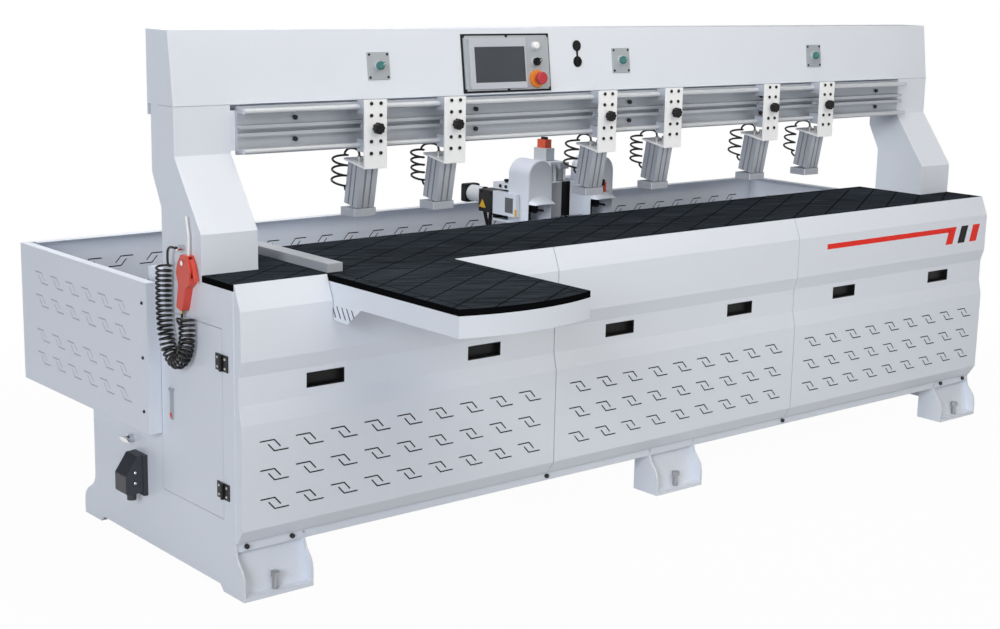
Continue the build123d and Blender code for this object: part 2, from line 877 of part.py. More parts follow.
half_tall = rail_tall / 2
arm_out = rod_out - rail_web / 2
arm_low = rod_spread - arm_thickness / 2
arm_high = rod_spread + arm_thickness / 2
lip_low = lip_z - lip_thickness / 2
lip_high = lip_z + lip_thickness / 2
hook = lip_thickness / 4
rail_bars = [rail_bar([(0, -half_tall), (rail_web, -half_tall), (rail_web, half_tall), (0, half_tall)])]
for side in (-1, 1):
    arm = [(rail_web, arm_low), (arm_out, arm_low), (arm_out, arm_high), (rail_web, arm_high)]
    lip = [
        (rail_web, lip_low),
        (lip_out - 2 * hook, lip_low),
        (lip_out - 2 * hook, lip_low - hook),
        (lip_out, lip_low - hook),
        (lip_out, lip_high),
        (rail_web, lip_high),
    ]
    for outline in (arm, lip):
        rail_bars.append(rail_bar([(out, side * up) for out, up in outline]))
with BuildPart() as clamp_rail:
    add(rail_bars[0])
clamp_rail.part = Compound(children=rail_bars + [rail_rod(z) for z in rod_zs])
save(clamp_rail, "clamp_rail")

# Clamps
tilt = radians(clamp_tilt)
press_dir = Vector(0, sin(tilt), -cos(tilt))
flange_dir = Vector(0, cos(tilt), sin(tilt))
bracket_bend = Vector(0, bracket_front, bracket_bottom)
cylinder_top = bracket_bend + flange_dir * cylinder_seat
cylinder_end = cylinder_top + press_dir * cylinder_length
pad_top = cylinder_end.Z - cylinder_size[1] / 2 * sin(tilt) - pad_gap
pad_middle = cylinder_end + press_dir * ((cylinder_end.Z - pad_top + foot_pad[2] / 2) / cos(tilt))
bracket_back = bracket_front + bracket_plate


def clamp_carriage(x):
    """Bent bracket, two sliders round the rods, the clamp cylinder and its two hose ports."""
    flange_up = Vector(0, -sin(tilt), cos(tilt)) * bracket_plate
    tip = bracket_bend + flange_dir * bracket_reach
    upper = bracket_bend + flange_up
    inner_z = upper.Z + (bracket_back - upper.Y) * tan(tilt)
    with BuildPart() as carriage:
        with BuildSketch(Plane.YZ.offset(x - bracket_width / 2)):
            Polygon(
                (bracket_front, bracket_top),
                (bracket_bend.Y, bracket_bend.Z),
                (tip.Y, tip.Z),
                (tip.Y + flange_up.Y, tip.Z + flange_up.Z),
                (bracket_back, inner_z),
                (bracket_back, bracket_top),
            )
        extrude(amount=bracket_width)
        with BuildSketch(facing_front(x, bracket_front, knob_z)):
            Circle(knob_stud_r + gap)
        extrude(amount=-2 * bracket_plate, mode=Mode.SUBTRACT)
        slider_back = rod_y + rod_r - gap
        for z in rod_zs:
            block(
                (x - slider_width / 2, bracket_back, z - slider_half),
                (x + slider_width / 2, slider_back, z + slider_half),
            )
            block(
                (x - slider_width, rod_y, z - arm_thickness / 2 - gap),
                (x + slider_width, slider_back + gap, z + arm_thickness / 2 + gap),
                mode=Mode.SUBTRACT,
            )
            with BuildSketch(Plane.YZ.offset(x - slider_width)):
                with Locations((rod_y, z)):
                    Circle(rod_r + gap)
            extrude(amount=2 * slider_width, mode=Mode.SUBTRACT)
        with BuildSketch(Plane(cylinder_top + Vector(x, 0, 0), x_dir=(1, 0, 0), z_dir=press_dir)):
            Rectangle(*cylinder_size)
            for side in (-1, 1):
                with Locations((0, side * cylinder_size[1] / 2)):
                    with GridLocations(groove_pitch, 1, 2, 1):
                        Rectangle(groove[0], 2 * groove[1], mode=Mode.SUBTRACT)
                with Locations((side * cylinder_size[0] / 2, 0)):
                    with GridLocations(1, groove_pitch, 1, 2):
                        Rectangle(2 * groove[1], groove[0], mode=Mode.SUBTRACT)
        extrude(amount=cylinder_length)
        with BuildSketch(Plane(cylinder_end + Vector(x, 0, 0), x_dir=(1, 0, 0), z_dir=press_dir)):
            Circle(piston_rod_r + gap)
        extrude(amount=-(piston_rod_length + gap), mode=Mode.SUBTRACT)
        with BuildSketch(Plane(cylinder_top + flange_up + Vector(x, 0, 0), x_dir=(1, 0, 0), z_dir=press_dir)):
            with GridLocations(cylinder_size[0] / 2, 1, 2, 1):
                Circle(port_r)
        extrude(amount=-port_height)
    return carriage


def clamp_foot(x):
    """Press foot on its piston rod."""
    with BuildPart() as foot:
        with Locations((x, pad_middle.Y, pad_top - foot_pad[2] / 2)):
            Box(*foot_pad)
        fillet(foot.edges().filter_by(Axis.Z), radius=foot_pad[2] / 6)
        with BuildSketch(Plane(pad_middle + Vector(x, 0, 0), x_dir=(1, 0, 0), z_dir=press_dir)):
            Circle(piston_rod_r)
        extrude(amount=-(piston_rod_length + (pad_middle - cylinder_end).length - gap))
    return foot


def clamp_knob(x):
    """Lobed lock knob with its collar, stud and pressure foot."""
    valley_at, valley_share = knob_valley
    outline = []
    for k in range(knob_lobes):
        for turn, share in ((0.0, 1.0), (knob_lobe_arc, 1.0), (valley_at, valley_share)):
            angle = radians((k + turn) * 360.0 / knob_lobes)
            outline.append((knob_r * share * cos(angle), knob_r * share * sin(angle)))
    stud_end = rail_back - lip_out - gap
    with BuildPart() as knob:
        with BuildSketch(facing_front(x, knob_front, knob_z)):
            Polygon(*outline)
        extrude(amount=-knob_thickness)
        chamfer(knob.faces().sort_by(Axis.Y)[0].edges(), length=sheet)
        with BuildSketch(facing_front(x, knob_front + knob_thickness, knob_z)):
            Circle(knob_collar_r)
        extrude(amount=-(bracket_front - gap - knob_front - knob_thickness))
        with BuildSketch(facing_front(x, knob_front + knob_thickness, knob_z)):
            Circle(knob_stud_r)
        extrude(amount=-(stud_end - knob_front - knob_thickness))
        with BuildSketch(facing_front(x, stud_end, knob_z)):
            Circle(knob_foot_r)
        extrude(amount=knob_stud_r)
    return knob


for number, x in enumerate(clamp_x, start=1):
    save(clamp_carriage(x), f"clamp_carriage_{number}")
    save(clamp_foot(x), f"clamp_foot_{number}")
    save(clamp_knob(x), f"clamp_knob_{number}")

# Control panel
plate_out = hmi_gasket[2] + hmi_plate[2]
bezel_out = plate_out + bezel[2]
ring_out = plate_out + ring_height
stop_ring_out = plate_out + stop_ring
panel_rings = [
    (start_v, ring_r, ring_height),
    (selector_v, ring_r, ring_height),
    (stop_v, stop_ring_r, stop_ring),
]
with BuildPart() as hmi_panel:
    with BuildSketch(on_panel(*hmi_at)):
        Rectangle(*hmi_gasket[:2])
    extrude(amount=hmi_gasket[2])
    with BuildSketch(on_panel(*hmi_at, hmi_gasket[2])):
        Rectangle(*hmi_plate[:2])
        with GridLocations(hmi_plate[0] / 2, hmi_plate[1], 3, 2):
            Circle(ring_height + sheet, mode=Mode.SUBTRACT)
    extrude(amount=hmi_plate[2])
    with BuildSketch(on_panel(*bezel_at, plate_out)):
        RectangleRounded(*bezel[:2], ring_height)
    extrude(amount=bezel[2])
    with BuildSketch(on_panel(*screen_at, bezel_out)):
        Rectangle(*screen[:2])
    extrude(amount=-screen[2], mode=Mode.SUBTRACT)
    for v, radius, height in panel_rings:
        with BuildSketch(on_panel(control_u, v, plate_out)):
            Circle(radius)
        extrude(amount=height)
    for v, radius in ((start_v, button_r), (selector_v, button_r / 2), (stop_v, button_r)):
        with BuildSketch(on_panel(control_u, v)):
            Circle(radius + gap)
        extrude(amount=stop_ring_out, mode=Mode.SUBTRACT)
save(hmi_panel, "hmi_panel")

with BuildPart() as hmi_screen:
    with BuildSketch(on_panel(*screen_at, bezel_out - screen[2])):
        Rectangle(screen[0] - 2 * gap, screen[1] - 2 * gap)
    extrude(amount=screen[2])
save(hmi_screen, "hmi_screen")

press_clear = button_travel + 1.0
with BuildPart() as start_button:
    with BuildSketch(on_panel(control_u, start_v, press_clear)):
        Circle(button_r)
    extrude(amount=button_out - press_clear)
    chamfer(start_button.edges().filter_by(GeomType.CIRCLE).sort_by(Axis.Y)[0], length=sheet)
save(start_button, "start_button")

with BuildPart() as estop_button:
    with BuildSketch(on_panel(control_u, stop_v, press_clear)):
        Circle(button_r)
    extrude(amount=stop_head[0] - press_clear)
    with BuildSketch(on_panel(control_u, stop_v, stop_head[0])):
        Circle(stop_head_r)
    extrude(amount=stop_head[1] - stop_head[0])
    fillet(estop_button.edges().filter_by(GeomType.CIRCLE).sort_by(Axis.Y)[0], radius=2 * sheet)
save(estop_button, "estop_button")


def rotary_knob(u, v, base):
    """A turning selector: a round skirt with a grip bar across it."""
    with BuildPart() as knob:
        with BuildSketch(on_panel(u, v, base + gap)):
            Circle(selector_r)
        extrude(amount=selector_skirt)
        grip_length, grip_width, grip_out = selector_grip
        with BuildSketch(on_panel(u, v, base + gap)):
            SlotOverall(grip_length, grip_width, rotation=selector_turn)
        extrude(amount=grip_out)
        with BuildSketch(on_panel(u, v, gap)):
            Circle(button_r / 2)
        extrude(amount=base)
    return knob


save(rotary_knob(control_u, selector_v, ring_out), "mode_selector")

switch_ring_out = switch_plate[2] + ring_height
with BuildPart() as panel_fittings:
    for x in switch_x:
        with BuildSketch(on_panel(x, switch_v)):
            Rectangle(*switch_plate[:2])
        extrude(amount=switch_plate[2])
        with BuildSketch(on_panel(x, switch_v, switch_plate[2])):
            Circle(ring_r)
        extrude(amount=ring_height)
        with BuildSketch(on_panel(x, switch_v)):
            Circle(button_r / 2 + gap)
        extrude(amount=switch_ring_out, mode=Mode.SUBTRACT)
    with BuildSketch(on_panel(usb_u, usb_v[0])):
        Circle(usb_r)
    extrude(amount=usb_out)
    with BuildSketch(on_panel(usb_u, usb_v[0], usb_out)):
        with GridLocations(1, usb_slot_pitch, 1, 2):
            Rectangle(*usb_slot)
    extrude(amount=-usb_out / 2, mode=Mode.SUBTRACT)
    with BuildSketch(on_panel(usb_u, usb_v[1])):
        Circle(usb_r)
    extrude(amount=usb_out / 2)
    with BuildSketch(on_panel(usb_u, (usb_v[0] + usb_v[1]) / 2)):
        Rectangle(usb_r / 2, usb_v[1] - usb_v[0] - usb_r)
    extrude(amount=sheet)
save(panel_fittings, "panel_fittings")

for number, x in enumerate(switch_x, start=1):
    save(rotary_knob(x, switch_v, switch_ring_out), f"clamp_switch_{number}")

# Cabinet door, hinges and latch
door_x = -end_x
hinge_x = -end_x - hinge_out
latch_barrel_r = latch_out / 2
latch_x = door_x - gap - latch_barrel_r
latch_axis_z = latch_z + latch_height / 2 - latch_barrel_r
with BuildPart() as cabinet_door:
    block((door_x, door_front, door_low), (door_x + door_thickness, door_back, door_high))
    for z in hinge_z:
        block(
            (door_x - hinge_leaf_thickness, hinge_y + hinge_r + gap, z - hinge_height / 2),
            (door_x, hinge_y + hinge_leaf, z + hinge_height / 2),
        )
        block(
            (hinge_x - hinge_leaf_thickness / 2, hinge_y, z - hinge_height / 6 + gap),
            (hinge_x + hinge_out, hinge_y + hinge_r + 2 * gap, z + hinge_height / 6 - gap),
        )
        with Locations((hinge_x, hinge_y, z)):
            Cylinder(hinge_r, hinge_height / 3 - 2 * gap)
            Cylinder(hinge_pin_r + gap / 6, hinge_height / 3, mode=Mode.SUBTRACT)
    for side in (-1, 1):
        lug_y = latch_y + side * (latch_width / 2 + gap + latch_lug / 2)
        block(
            (latch_x - latch_lug, lug_y - latch_lug / 2, latch_axis_z - latch_lug),
            (door_x, lug_y + latch_lug / 2, latch_axis_z + latch_lug),
        )
    with BuildSketch(facing_front(latch_x, latch_y, latch_axis_z)):
        Circle(latch_pin_r + gap / 6)
    extrude(amount=latch_width, both=True, mode=Mode.SUBTRACT)
save(cabinet_door, "cabinet_door")

with BuildPart() as door_hinges:
    for z in hinge_z:
        block(
            (door_x - hinge_leaf_thickness, hinge_y - hinge_leaf, z - hinge_height / 2),
            (door_x, hinge_y - hinge_r - gap, z + hinge_height / 2),
        )
        for end in (-1, 1):
            knuckle_z = z + end * hinge_height / 3
            with Locations((hinge_x, hinge_y, knuckle_z)):
                Cylinder(hinge_r, hinge_height / 3)
            block(
                (hinge_x - hinge_leaf_thickness / 2, hinge_y - hinge_r - gap, knuckle_z - hinge_height / 6),
                (door_x, hinge_y, knuckle_z + hinge_height / 6),
            )
        with Locations((hinge_x, hinge_y, z)):
            Cylinder(hinge_pin_r, hinge_height)
save(door_hinges, "door_hinges")

with BuildPart() as door_latch:
    latch_face = latch_x - latch_barrel_r
    latch_low = latch_z - latch_height / 2
    block(
        (latch_face, latch_y - latch_width / 2, latch_low),
        (latch_face + latch_out, latch_y + latch_width / 2, latch_axis_z),
    )
    with BuildSketch(facing_front(latch_x, latch_y, latch_axis_z)):
        Circle(latch_barrel_r)
    extrude(amount=latch_width / 2, both=True)
    with BuildSketch(facing_front(latch_x, latch_y, latch_axis_z)):
        Circle(latch_pin_r)
    extrude(amount=latch_width / 2 + gap + latch_lug, both=True)
    with BuildSketch(facing_left(latch_face, latch_y, latch_low + latch_button[1])):
        Rectangle(*latch_button)
    extrude(amount=sheet)
save(door_latch, "door_latch")

# Power connector with its gland, and the air valve
with BuildPart() as side_connectors:
    deep, wide, tall = connector
    block(
        (door_x - connector_plate, connector_y - wide / 2, connector_z - tall / 2),
        (door_x, connector_y + wide / 2, connector_z + tall / 2),
    )
    nose_depth, nose_z = connector_nose
    with BuildSketch(facing_front(door_x, connector_y, connector_z)) as hood_side:
        Polygon(
            (0, -connector_hood_low),
            (-deep, -connector_hood_low),
            (-deep, nose_z),
            (-nose_depth, tall / 2),
            (0, tall / 2),
        )
        fillet(hood_side.vertices().group_by(Axis.X)[0], radius=connector_corner)
    extrude(amount=connector_hood / 2, both=True)
    with Locations((door_x - deep / 2, connector_y, connector_z - tall / 2)):
        Cylinder(connector_gland_r, tall / 4)
    with BuildSketch(facing_left(door_x, valve_y, valve_z)):
        Circle(connector_gland_r)
    extrude(amount=connector_gland_r)
    with BuildSketch(facing_left(door_x - connector_gland_r, valve_y, valve_z)):
        Circle(connector_gland_r / 2)
        Ellipse(2 * connector_gland_r, connector_gland_r / 2)
    extrude(amount=connector_gland_r)
save(side_connectors, "side_connectors")

# Control gear behind the door
with BuildPart() as control_gear:
    gear_x = -cover_seam - bulkhead / 2
    with Locations((gear_x - gear_plate[0] / 2, gear_y, gear_z)):
        Box(*gear_plate)
    face_x = gear_x - gear_plate[0]
    for row, depth in zip((-1, 0, 1), gear_depths):
        for column in (-1, 0, 1):
            y = gear_y + column * gear_pitch[0]
            z = gear_z + row * gear_pitch[1]
            block(
                (face_x - depth, y - gear_box[0] / 2, z - gear_box[1] / 2),
                (face_x, y + gear_box[0] / 2, z + gear_box[1] / 2),
            )
save(control_gear, "control_gear")

# Fasteners: rail bolts and cover bolts along the lower rail
rail_bolt_xs = [rail_bolt_shift + k * rail_bolt_pitch for k in (-2, -1, 0, 1, 2)]
cover_bolt_places = (end_x - cover_bolt_inset, end_x - foot_width + cover_bolt_inset, cover_seam)
cover_bolt_xs = [side * x for side in (-1, 1) for x in cover_bolt_places]
with BuildPart() as fasteners:
    with BuildSketch(facing_front(0, rail_back - rail_web, rail_z)):
        with Locations(*[(x, s * rail_bolt_z) for x in rail_bolt_xs for s in (-1, 1)]):
            Circle(rail_bolt_r)
    extrude(amount=rail_bolt_r)
    with BuildSketch(facing_front(0, rail_front, (foot_top + cover_bottom) / 2)):
        with Locations(*[(x, 0) for x in cover_bolt_xs]):
            Circle(rail_bolt_r)
    extrude(amount=rail_bolt_r)
save(fasteners, "fasteners")

# Rails and rack of the drilling unit, on the bed
with BuildPart() as x_rails:
    for y in x_rail_y:
        block(
            (-x_rail_length / 2, y - x_rail[0] / 2, bed_top),
            (x_rail_length / 2, y + x_rail[0] / 2, bed_top + x_rail[1]),
        )
    block(
        (-x_rail_length / 2, rack_y - rack[0] / 2, bed_top),
        (x_rail_length / 2, rack_y + rack[0] / 2, bed_top + rack[1]),
    )
save(x_rails, "x_rails")

saddle_top = saddle_low + saddle
with BuildPart() as x_saddle:
    block((saddle_x[0], saddle_y[0], saddle_low), (saddle_x[1], saddle_y[1], saddle_top))
    for x in (saddle_x[0] + truck_length, saddle_x[1] - truck_length):
        for y in x_rail_y:
            block(
                (x - truck_length / 2, y - truck_width / 2, truck_low),
                (x + truck_length / 2, y + truck_width / 2, saddle_low),
            )
            block(
                (x - truck_length, y - x_rail[0] / 2 - gap, truck_low - gap),
                (x + truck_length, y + x_rail[0] / 2 + gap, bed_top + x_rail[1] + gap),
                mode=Mode.SUBTRACT,
            )
    case_y = rack_y + rack[0] / 2 + gap
    case_x = saddle_x[1] - drive_case
    motor_y = case_y + drive_case / 2
    block((case_x - drive_case / 2, case_y, truck_low), (case_x + drive_case / 2, motor_y, saddle_low))
    block(
        (case_x - x_motor[0] / 2, motor_y - x_motor[0] / 2, saddle_top),
        (case_x + x_motor[0] / 2, motor_y + x_motor[0] / 2, saddle_top + x_motor[1]),
    )
    cover_x = (saddle_x[0], unit_x - column_size[0])
    with BuildSketch(Plane.XZ.offset(-saddle_y[0])):
        Polygon(
            (cover_x[0], saddle_top),
            (cover_x[1], saddle_top),
            (cover_x[1], cover_top),
            (cover_x[0] + truck_width, cover_top),
            (cover_x[0], cover_top - truck_width),
        )
    extrude(amount=-(column_face - saddle_y[0]))
save(x_saddle, "x_saddle")

column_back_y = column_face + column_size[1]
with BuildPart() as z_column:
    block(
        (unit_x - column_size[0] / 2, column_face, saddle_top),
        (unit_x + column_size[0] / 2, column_back_y, z_column_top),
    )
    for side in (-1, 1):
        x = unit_x + side * z_rail_offset
        block(
            (x - z_rail[0] / 2, column_face - z_rail[1], saddle_top + shelf),
            (x + z_rail[0] / 2, column_face, z_column_top - shelf),
        )
    motor_y = column_back_y - z_motor[1] / 2
    cap_low = z_column_top + z_motor[2]
    plug_low = cap_low + z_cap[2]
    with Locations((unit_x, motor_y, z_column_top + z_motor[2] / 2)):
        Box(*z_motor)
    with Locations((unit_x, motor_y, cap_low + z_cap[2] / 2)):
        Box(*z_cap)
    with Locations((unit_x, motor_y, plug_low + shelf / 2)):
        Box(z_cap[0] / 2, z_cap[1] / 2, shelf)
    limit_low = z_column_top - limit_block[2]
    limit_front = column_face - limit_block[1]
    block(
        (unit_x - limit_block[0] / 4, limit_front, limit_low),
        (unit_x + limit_block[0] * 3 / 4, column_face, z_column_top),
    )
    with Locations((unit_x, column_face - limit_post[1], limit_low - limit_post[2] / 2)):
        Box(*limit_post)
save(z_column, "z_column")

# Carrier of both drills: bridge plate on the column's rails, a shelf and a hood for each drill
drill_xs = (unit_x - drill_pitch / 2, unit_x + drill_pitch / 2)
hood_back = hood_front + hood_depth
hood_r = hood_width / 2
drive_left = drill_xs[0] - drive_out


def arch(half, top):
    """The outline of a hood: straight sides with a round top."""
    Polyline((-half, top - half), (-half, hood_low), (half, hood_low), (half, top - half))
    ThreePointArc((-half, top - half), (0, top), (half, top - half))


def awning(x, inset, root, out):
    """A visor's solid: half an ellipse at its root, tapering to a low one at its lip."""
    root_half, lip_half = visor_half
    sections = [(root, root_half, visor_rise), (hood_front - out, lip_half, hood_wall)]
    with BuildPart() as solid:
        for y, half, rise in sections:
            height = max(rise - inset, sheet)
            with BuildSketch(facing_front(x, y, visor_lip)):
                Ellipse(half - inset, height)
                with Locations((0, height / 2)):
                    Rectangle(2 * half, height, mode=Mode.INTERSECT)
        loft(ruled=True)
    return solid.part


def hood(x):
    """Arched hood with a rounded front edge, open below, with a visor over the drill's way out."""
    inner_r = hood_r - hood_wall
    with BuildPart() as shell:
        with BuildSketch(facing_front(x, hood_front, 0)):
            with BuildLine():
                arch(hood_r, hood_top)
            make_face()
        extrude(amount=-hood_depth)
        front_edges = shell.faces().sort_by(Axis.Y)[0].edges()
        fillet(front_edges.sort_by(Axis.Z)[1:], radius=hood_edge)
        with BuildSketch(facing_front(x, hood_front + hood_wall, 0)):
            with BuildLine():
                arch(inner_r, hood_top - hood_wall)
            make_face()
        extrude(amount=-hood_depth, mode=Mode.SUBTRACT)
        block(
            (x - inner_r, hood_front - hood_wall, hood_low - hood_wall),
            (x + inner_r, hood_front + 2 * hood_wall, visor_lip),
            mode=Mode.SUBTRACT,
        )
        add(awning(x, 0, hood_front + hood_wall, visor_out))
        add(awning(x, hood_wall, hood_front, visor_out - hood_wall), mode=Mode.SUBTRACT)
    return shell


motor_top = spindle_z + motor_foot / 2 + drill_motor_r + motor_cover_clear
with BuildPart() as z_carrier:
    for x in drill_xs:
        add(hood(x).part)
        block((x - hood_r, hood_front + 2 * hood_wall, hood_low - shelf), (x + hood_r, shelf_back, hood_low))
        block((x - hood_r, hood_back, motor_top), (x + hood_r, shelf_back, motor_top + motor_cover))
    block(
        (drive_left, drive_front - gap, drive_z[0] - gap),
        (drive_left + drive_box[0] + gap, hood_back + gap, drive_z[1] + gap),
        mode=Mode.SUBTRACT,
    )
    block(
        (drill_xs[0] + hood_r, bridge_y, bridge_z[0]),
        (drill_xs[1] - hood_r, bridge_y + bridge, bridge_z[1]),
    )
    block(
        (bridge_channel_x - bridge_channel[0] / 2, bridge_y, bridge_z[0]),
        (bridge_channel_x + bridge_channel[0] / 2, bridge_y + bridge_channel[1], bridge_z[1]),
        mode=Mode.SUBTRACT,
    )
    for side in (-1, 1):
        x = unit_x + side * z_rail_offset
        block(
            (x - z_rail[0], bridge_y + bridge, bridge_z[0]),
            (x + z_rail[0], column_face - gap, bridge_z[1]),
        )
        block(
            (x - z_rail[0] / 2 - gap, column_face - z_rail[1] - gap, bridge_z[0] - gap),
            (x + z_rail[0] / 2 + gap, column_face, bridge_z[1] + gap),
            mode=Mode.SUBTRACT,
        )
save(z_carrier, "z_carrier")

with BuildPart() as feed_drive:
    block_front = drive_front + drive_box[1]
    block_back = block_front + drive_block[1]
    motor_x = drive_left + drive_motor_at[0]
    motor_z = drive_z[0] + drive_motor_at[1]
    block((drive_left, drive_front, drive_z[0]), (drive_left + drive_box[0], block_front, drive_z[1]))
    block(
        (drive_left + drive_step, block_front, drive_z[0]),
        (drive_left + drive_block[0], block_back, drive_z[1] - drive_step),
    )
    block(
        (drill_xs[0] - hood_r, shelf_back - drive_foot, hood_low),
        (drive_left + drive_block[0], shelf_back, drive_z[0]),
    )
    with BuildSketch(facing_front(motor_x, block_back, motor_z)):
        Circle(drive_motor_r)
    extrude(amount=-drive_motor_length)
    with BuildSketch(facing_front(motor_x, block_back + drive_motor_length, motor_z)):
        RectangleRounded(drive_cap[0], drive_cap[0], shelf)
    extrude(amount=-drive_cap[1])
save(feed_drive, "feed_drive")

motor_front = hood_front + drill_motor[0]
for number, x in enumerate(drill_xs, start=1):
    with BuildPart() as drill_motor_body:
        with BuildSketch(facing_front(x, motor_front, spindle_z + motor_foot / 2)):
            Circle(drill_motor_r)
        extrude(amount=-drill_motor[1])
        block(
            (x - motor_foot / 2, motor_front, hood_low + gap),
            (x + motor_foot / 2, motor_front + drill_motor[1], spindle_z),
        )
        with BuildSketch(facing_front(x, motor_front, spindle_z)):
            Circle(chuck_r / 2 + gap)
        extrude(amount=-chuck_length, mode=Mode.SUBTRACT)
    save(drill_motor_body, f"drill_motor_{number}")
    with BuildPart() as spindle:
        with BuildSketch(facing_front(x, motor_front + chuck_length - gap, spindle_z)):
            Circle(chuck_r / 2)
        extrude(amount=chuck_length)
        with BuildSketch(facing_front(x, motor_front - gap, spindle_z)):
            Circle(chuck_r)
        extrude(amount=chuck_length)
        with BuildSketch(facing_front(x, motor_front - gap - chuck_length, spindle_z)):
            Circle(bit_r)
        extrude(amount=bit_length)
    save(spindle, f"spindle_{number}")


# Blow gun, its trigger and its curly hose
def on_gun(point):
    """Centre plane coordinates of the gun: distance behind the front edge, and height."""
    return (front_y + point[0], point[1])


inlet_low, inlet_high = [Vector(gun_x, *on_gun(corner)) for corner in inlet_corners]
inlet_base = (inlet_low + inlet_high) / 2
inlet_dir = Vector(1, 0, 0).cross(inlet_high - inlet_low).normalized() * -1
inlet_end = inlet_base + inlet_dir * inlet_length
with BuildPart() as blow_gun:
    with BuildSketch(Plane.YZ.offset(gun_x)) as gun_shape:
        Polygon(*[on_gun(point) for point in gun_outline])
        fillet(gun_shape.vertices(), radius=gun_corner)
        with Locations(on_gun(peg_at)):
            Circle(peg_r + gap / 2, mode=Mode.SUBTRACT)
    extrude(amount=gun_thickness / 2, both=True)
    slot_half = trigger_width / 2 + gap
    slot_low, slot_high = [on_gun(corner) for corner in trigger_slot]
    block((gun_x - slot_half, *slot_low), (gun_x + slot_half, *slot_high), mode=Mode.SUBTRACT)
    with BuildSketch(Plane.YZ.offset(gun_x)):
        with Locations(on_gun(trigger_pivot)):
            Circle(trigger_pin_r)
    extrude(amount=slot_half, both=True)
    nozzle_points = [(gun_x, *on_gun(point)) for point in gun_nozzle]
    with BuildLine() as nozzle_line:
        FilletPolyline(*nozzle_points, radius=nozzle_bend)
    with BuildSketch(Plane(nozzle_points[0], z_dir=nozzle_line.line % 0)):
        Circle(nozzle_r)
    sweep(path=nozzle_line.line)
    with BuildSketch(Plane(inlet_base, z_dir=inlet_dir)):
        Circle(inlet_r)
    extrude(amount=inlet_length)
save(blow_gun, "blow_gun")

with BuildPart() as gun_trigger:
    with BuildSketch(Plane.YZ.offset(gun_x)):
        Polygon(*[on_gun(point) for point in trigger_outline])
        with Locations(on_gun(trigger_pivot)):
            Circle(trigger_pin_r + gap / 6, mode=Mode.SUBTRACT)
    extrude(amount=trigger_width / 2, both=True)
save(gun_trigger, "gun_trigger")


def cord_radii(points):
    """Bend radii of a cord: 0.45 of the shorter run over the tangent of half the turn."""
    radii = []
    for a, b, c in zip(points, points[1:], points[2:]):
        first = Vector(b) - Vector(a)
        second = Vector(c) - Vector(b)
        half_turn = radians(first.get_angle(second)) / 2
        radii.append(0.45 * min(first.length, second.length) / tan(half_turn))
    return radii


def cord_tube(points, radius):
    """A plain tube along straight runs joined by tangent arcs."""
    radii = cord_radii(points)
    print("cord radius", radius, "bends", [round(r, 1) for r in radii])
    with BuildPart() as tube:
        with BuildLine() as path:
            FilletPolyline(*points, radius=radii)
        with BuildSketch(Plane(path.line @ 0, z_dir=path.line % 0)):
            Circle(radius)
        sweep(path=path.line)
    return tube


coil = cord_tube([(coil_x, *on_gun(point)) for point in coil_route], coil_r)
lead = cord_tube([(coil_x, *on_gun(point)) for point in hose_lead], hose_r)
tail_points = [inlet_end]
for step in range(tail_steps):
    direction = inlet_dir.rotate(Axis.X, -step * tail_turn)
    sideways = Vector((coil_x - gun_x) / (tail_steps - 1), 0, 0) if step else Vector(0, 0, 0)
    tail_points.append(tail_points[-1] + direction * tail_step + sideways)
tail = cord_tube(tail_points, hose_r)
with BuildPart() as gun_hose:
    add(coil.part)
    add(lead.part)
    add(tail.part)
save(gun_hose, "gun_hose")
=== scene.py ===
import math

import bmesh
import bpy
from mathutils import Matrix, Vector


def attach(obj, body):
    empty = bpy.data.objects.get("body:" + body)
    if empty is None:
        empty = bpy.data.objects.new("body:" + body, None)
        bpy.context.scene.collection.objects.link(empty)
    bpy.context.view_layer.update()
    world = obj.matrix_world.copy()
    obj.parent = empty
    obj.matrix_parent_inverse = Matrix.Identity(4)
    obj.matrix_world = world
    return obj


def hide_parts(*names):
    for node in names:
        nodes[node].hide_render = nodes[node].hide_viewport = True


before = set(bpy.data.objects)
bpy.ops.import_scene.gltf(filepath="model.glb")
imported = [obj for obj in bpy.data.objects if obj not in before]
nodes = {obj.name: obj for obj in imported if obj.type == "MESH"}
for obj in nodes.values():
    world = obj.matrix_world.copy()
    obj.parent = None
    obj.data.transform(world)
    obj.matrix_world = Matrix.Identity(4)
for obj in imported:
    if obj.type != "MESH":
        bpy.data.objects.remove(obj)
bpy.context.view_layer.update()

scene = bpy.context.scene
scene.view_settings.view_transform = "Standard"

# Shared frame in metres: X along the machine, Y to the back, Z up from the floor
FRONT = -0.3135           # front edge of the table
TABLE = 0.880             # height of its upper face
BOARD_THICKNESS = 0.018
END = 1.700               # outer face of the end frames
CLAMPS = (-1.086, -0.789, -0.150, 0.160, 0.663, 0.971)
PANEL_FOOT = Vector((0.0, FRONT + 0.308, 1.327))    # lower edge of the beam's leaning face
PANEL_LEAN = math.atan2(0.027, 0.206)
PANEL_UP = Vector((0.0, math.sin(PANEL_LEAN), math.cos(PANEL_LEAN)))
PANEL_OUT = Vector((0.0, -math.cos(PANEL_LEAN), math.sin(PANEL_LEAN)))
FRONTWARD = Vector((0, -1, 0))
LEFTWARD = Vector((-1, 0, 0))
UPWARD = Vector((0, 0, 1))
SIDEWAYS = Vector((1, 0, 0))

# Camera
CAMERA_PLACE = (-3.8874, FRONT - 3.7110, 1.7010)
CAMERA_TURN = (-39.95, -11.65, 1.22)                # yaw, pitch and roll in degrees
CAMERA_LENS = 58.87
CAMERA_SHIFT = (0.0007, -0.0032)


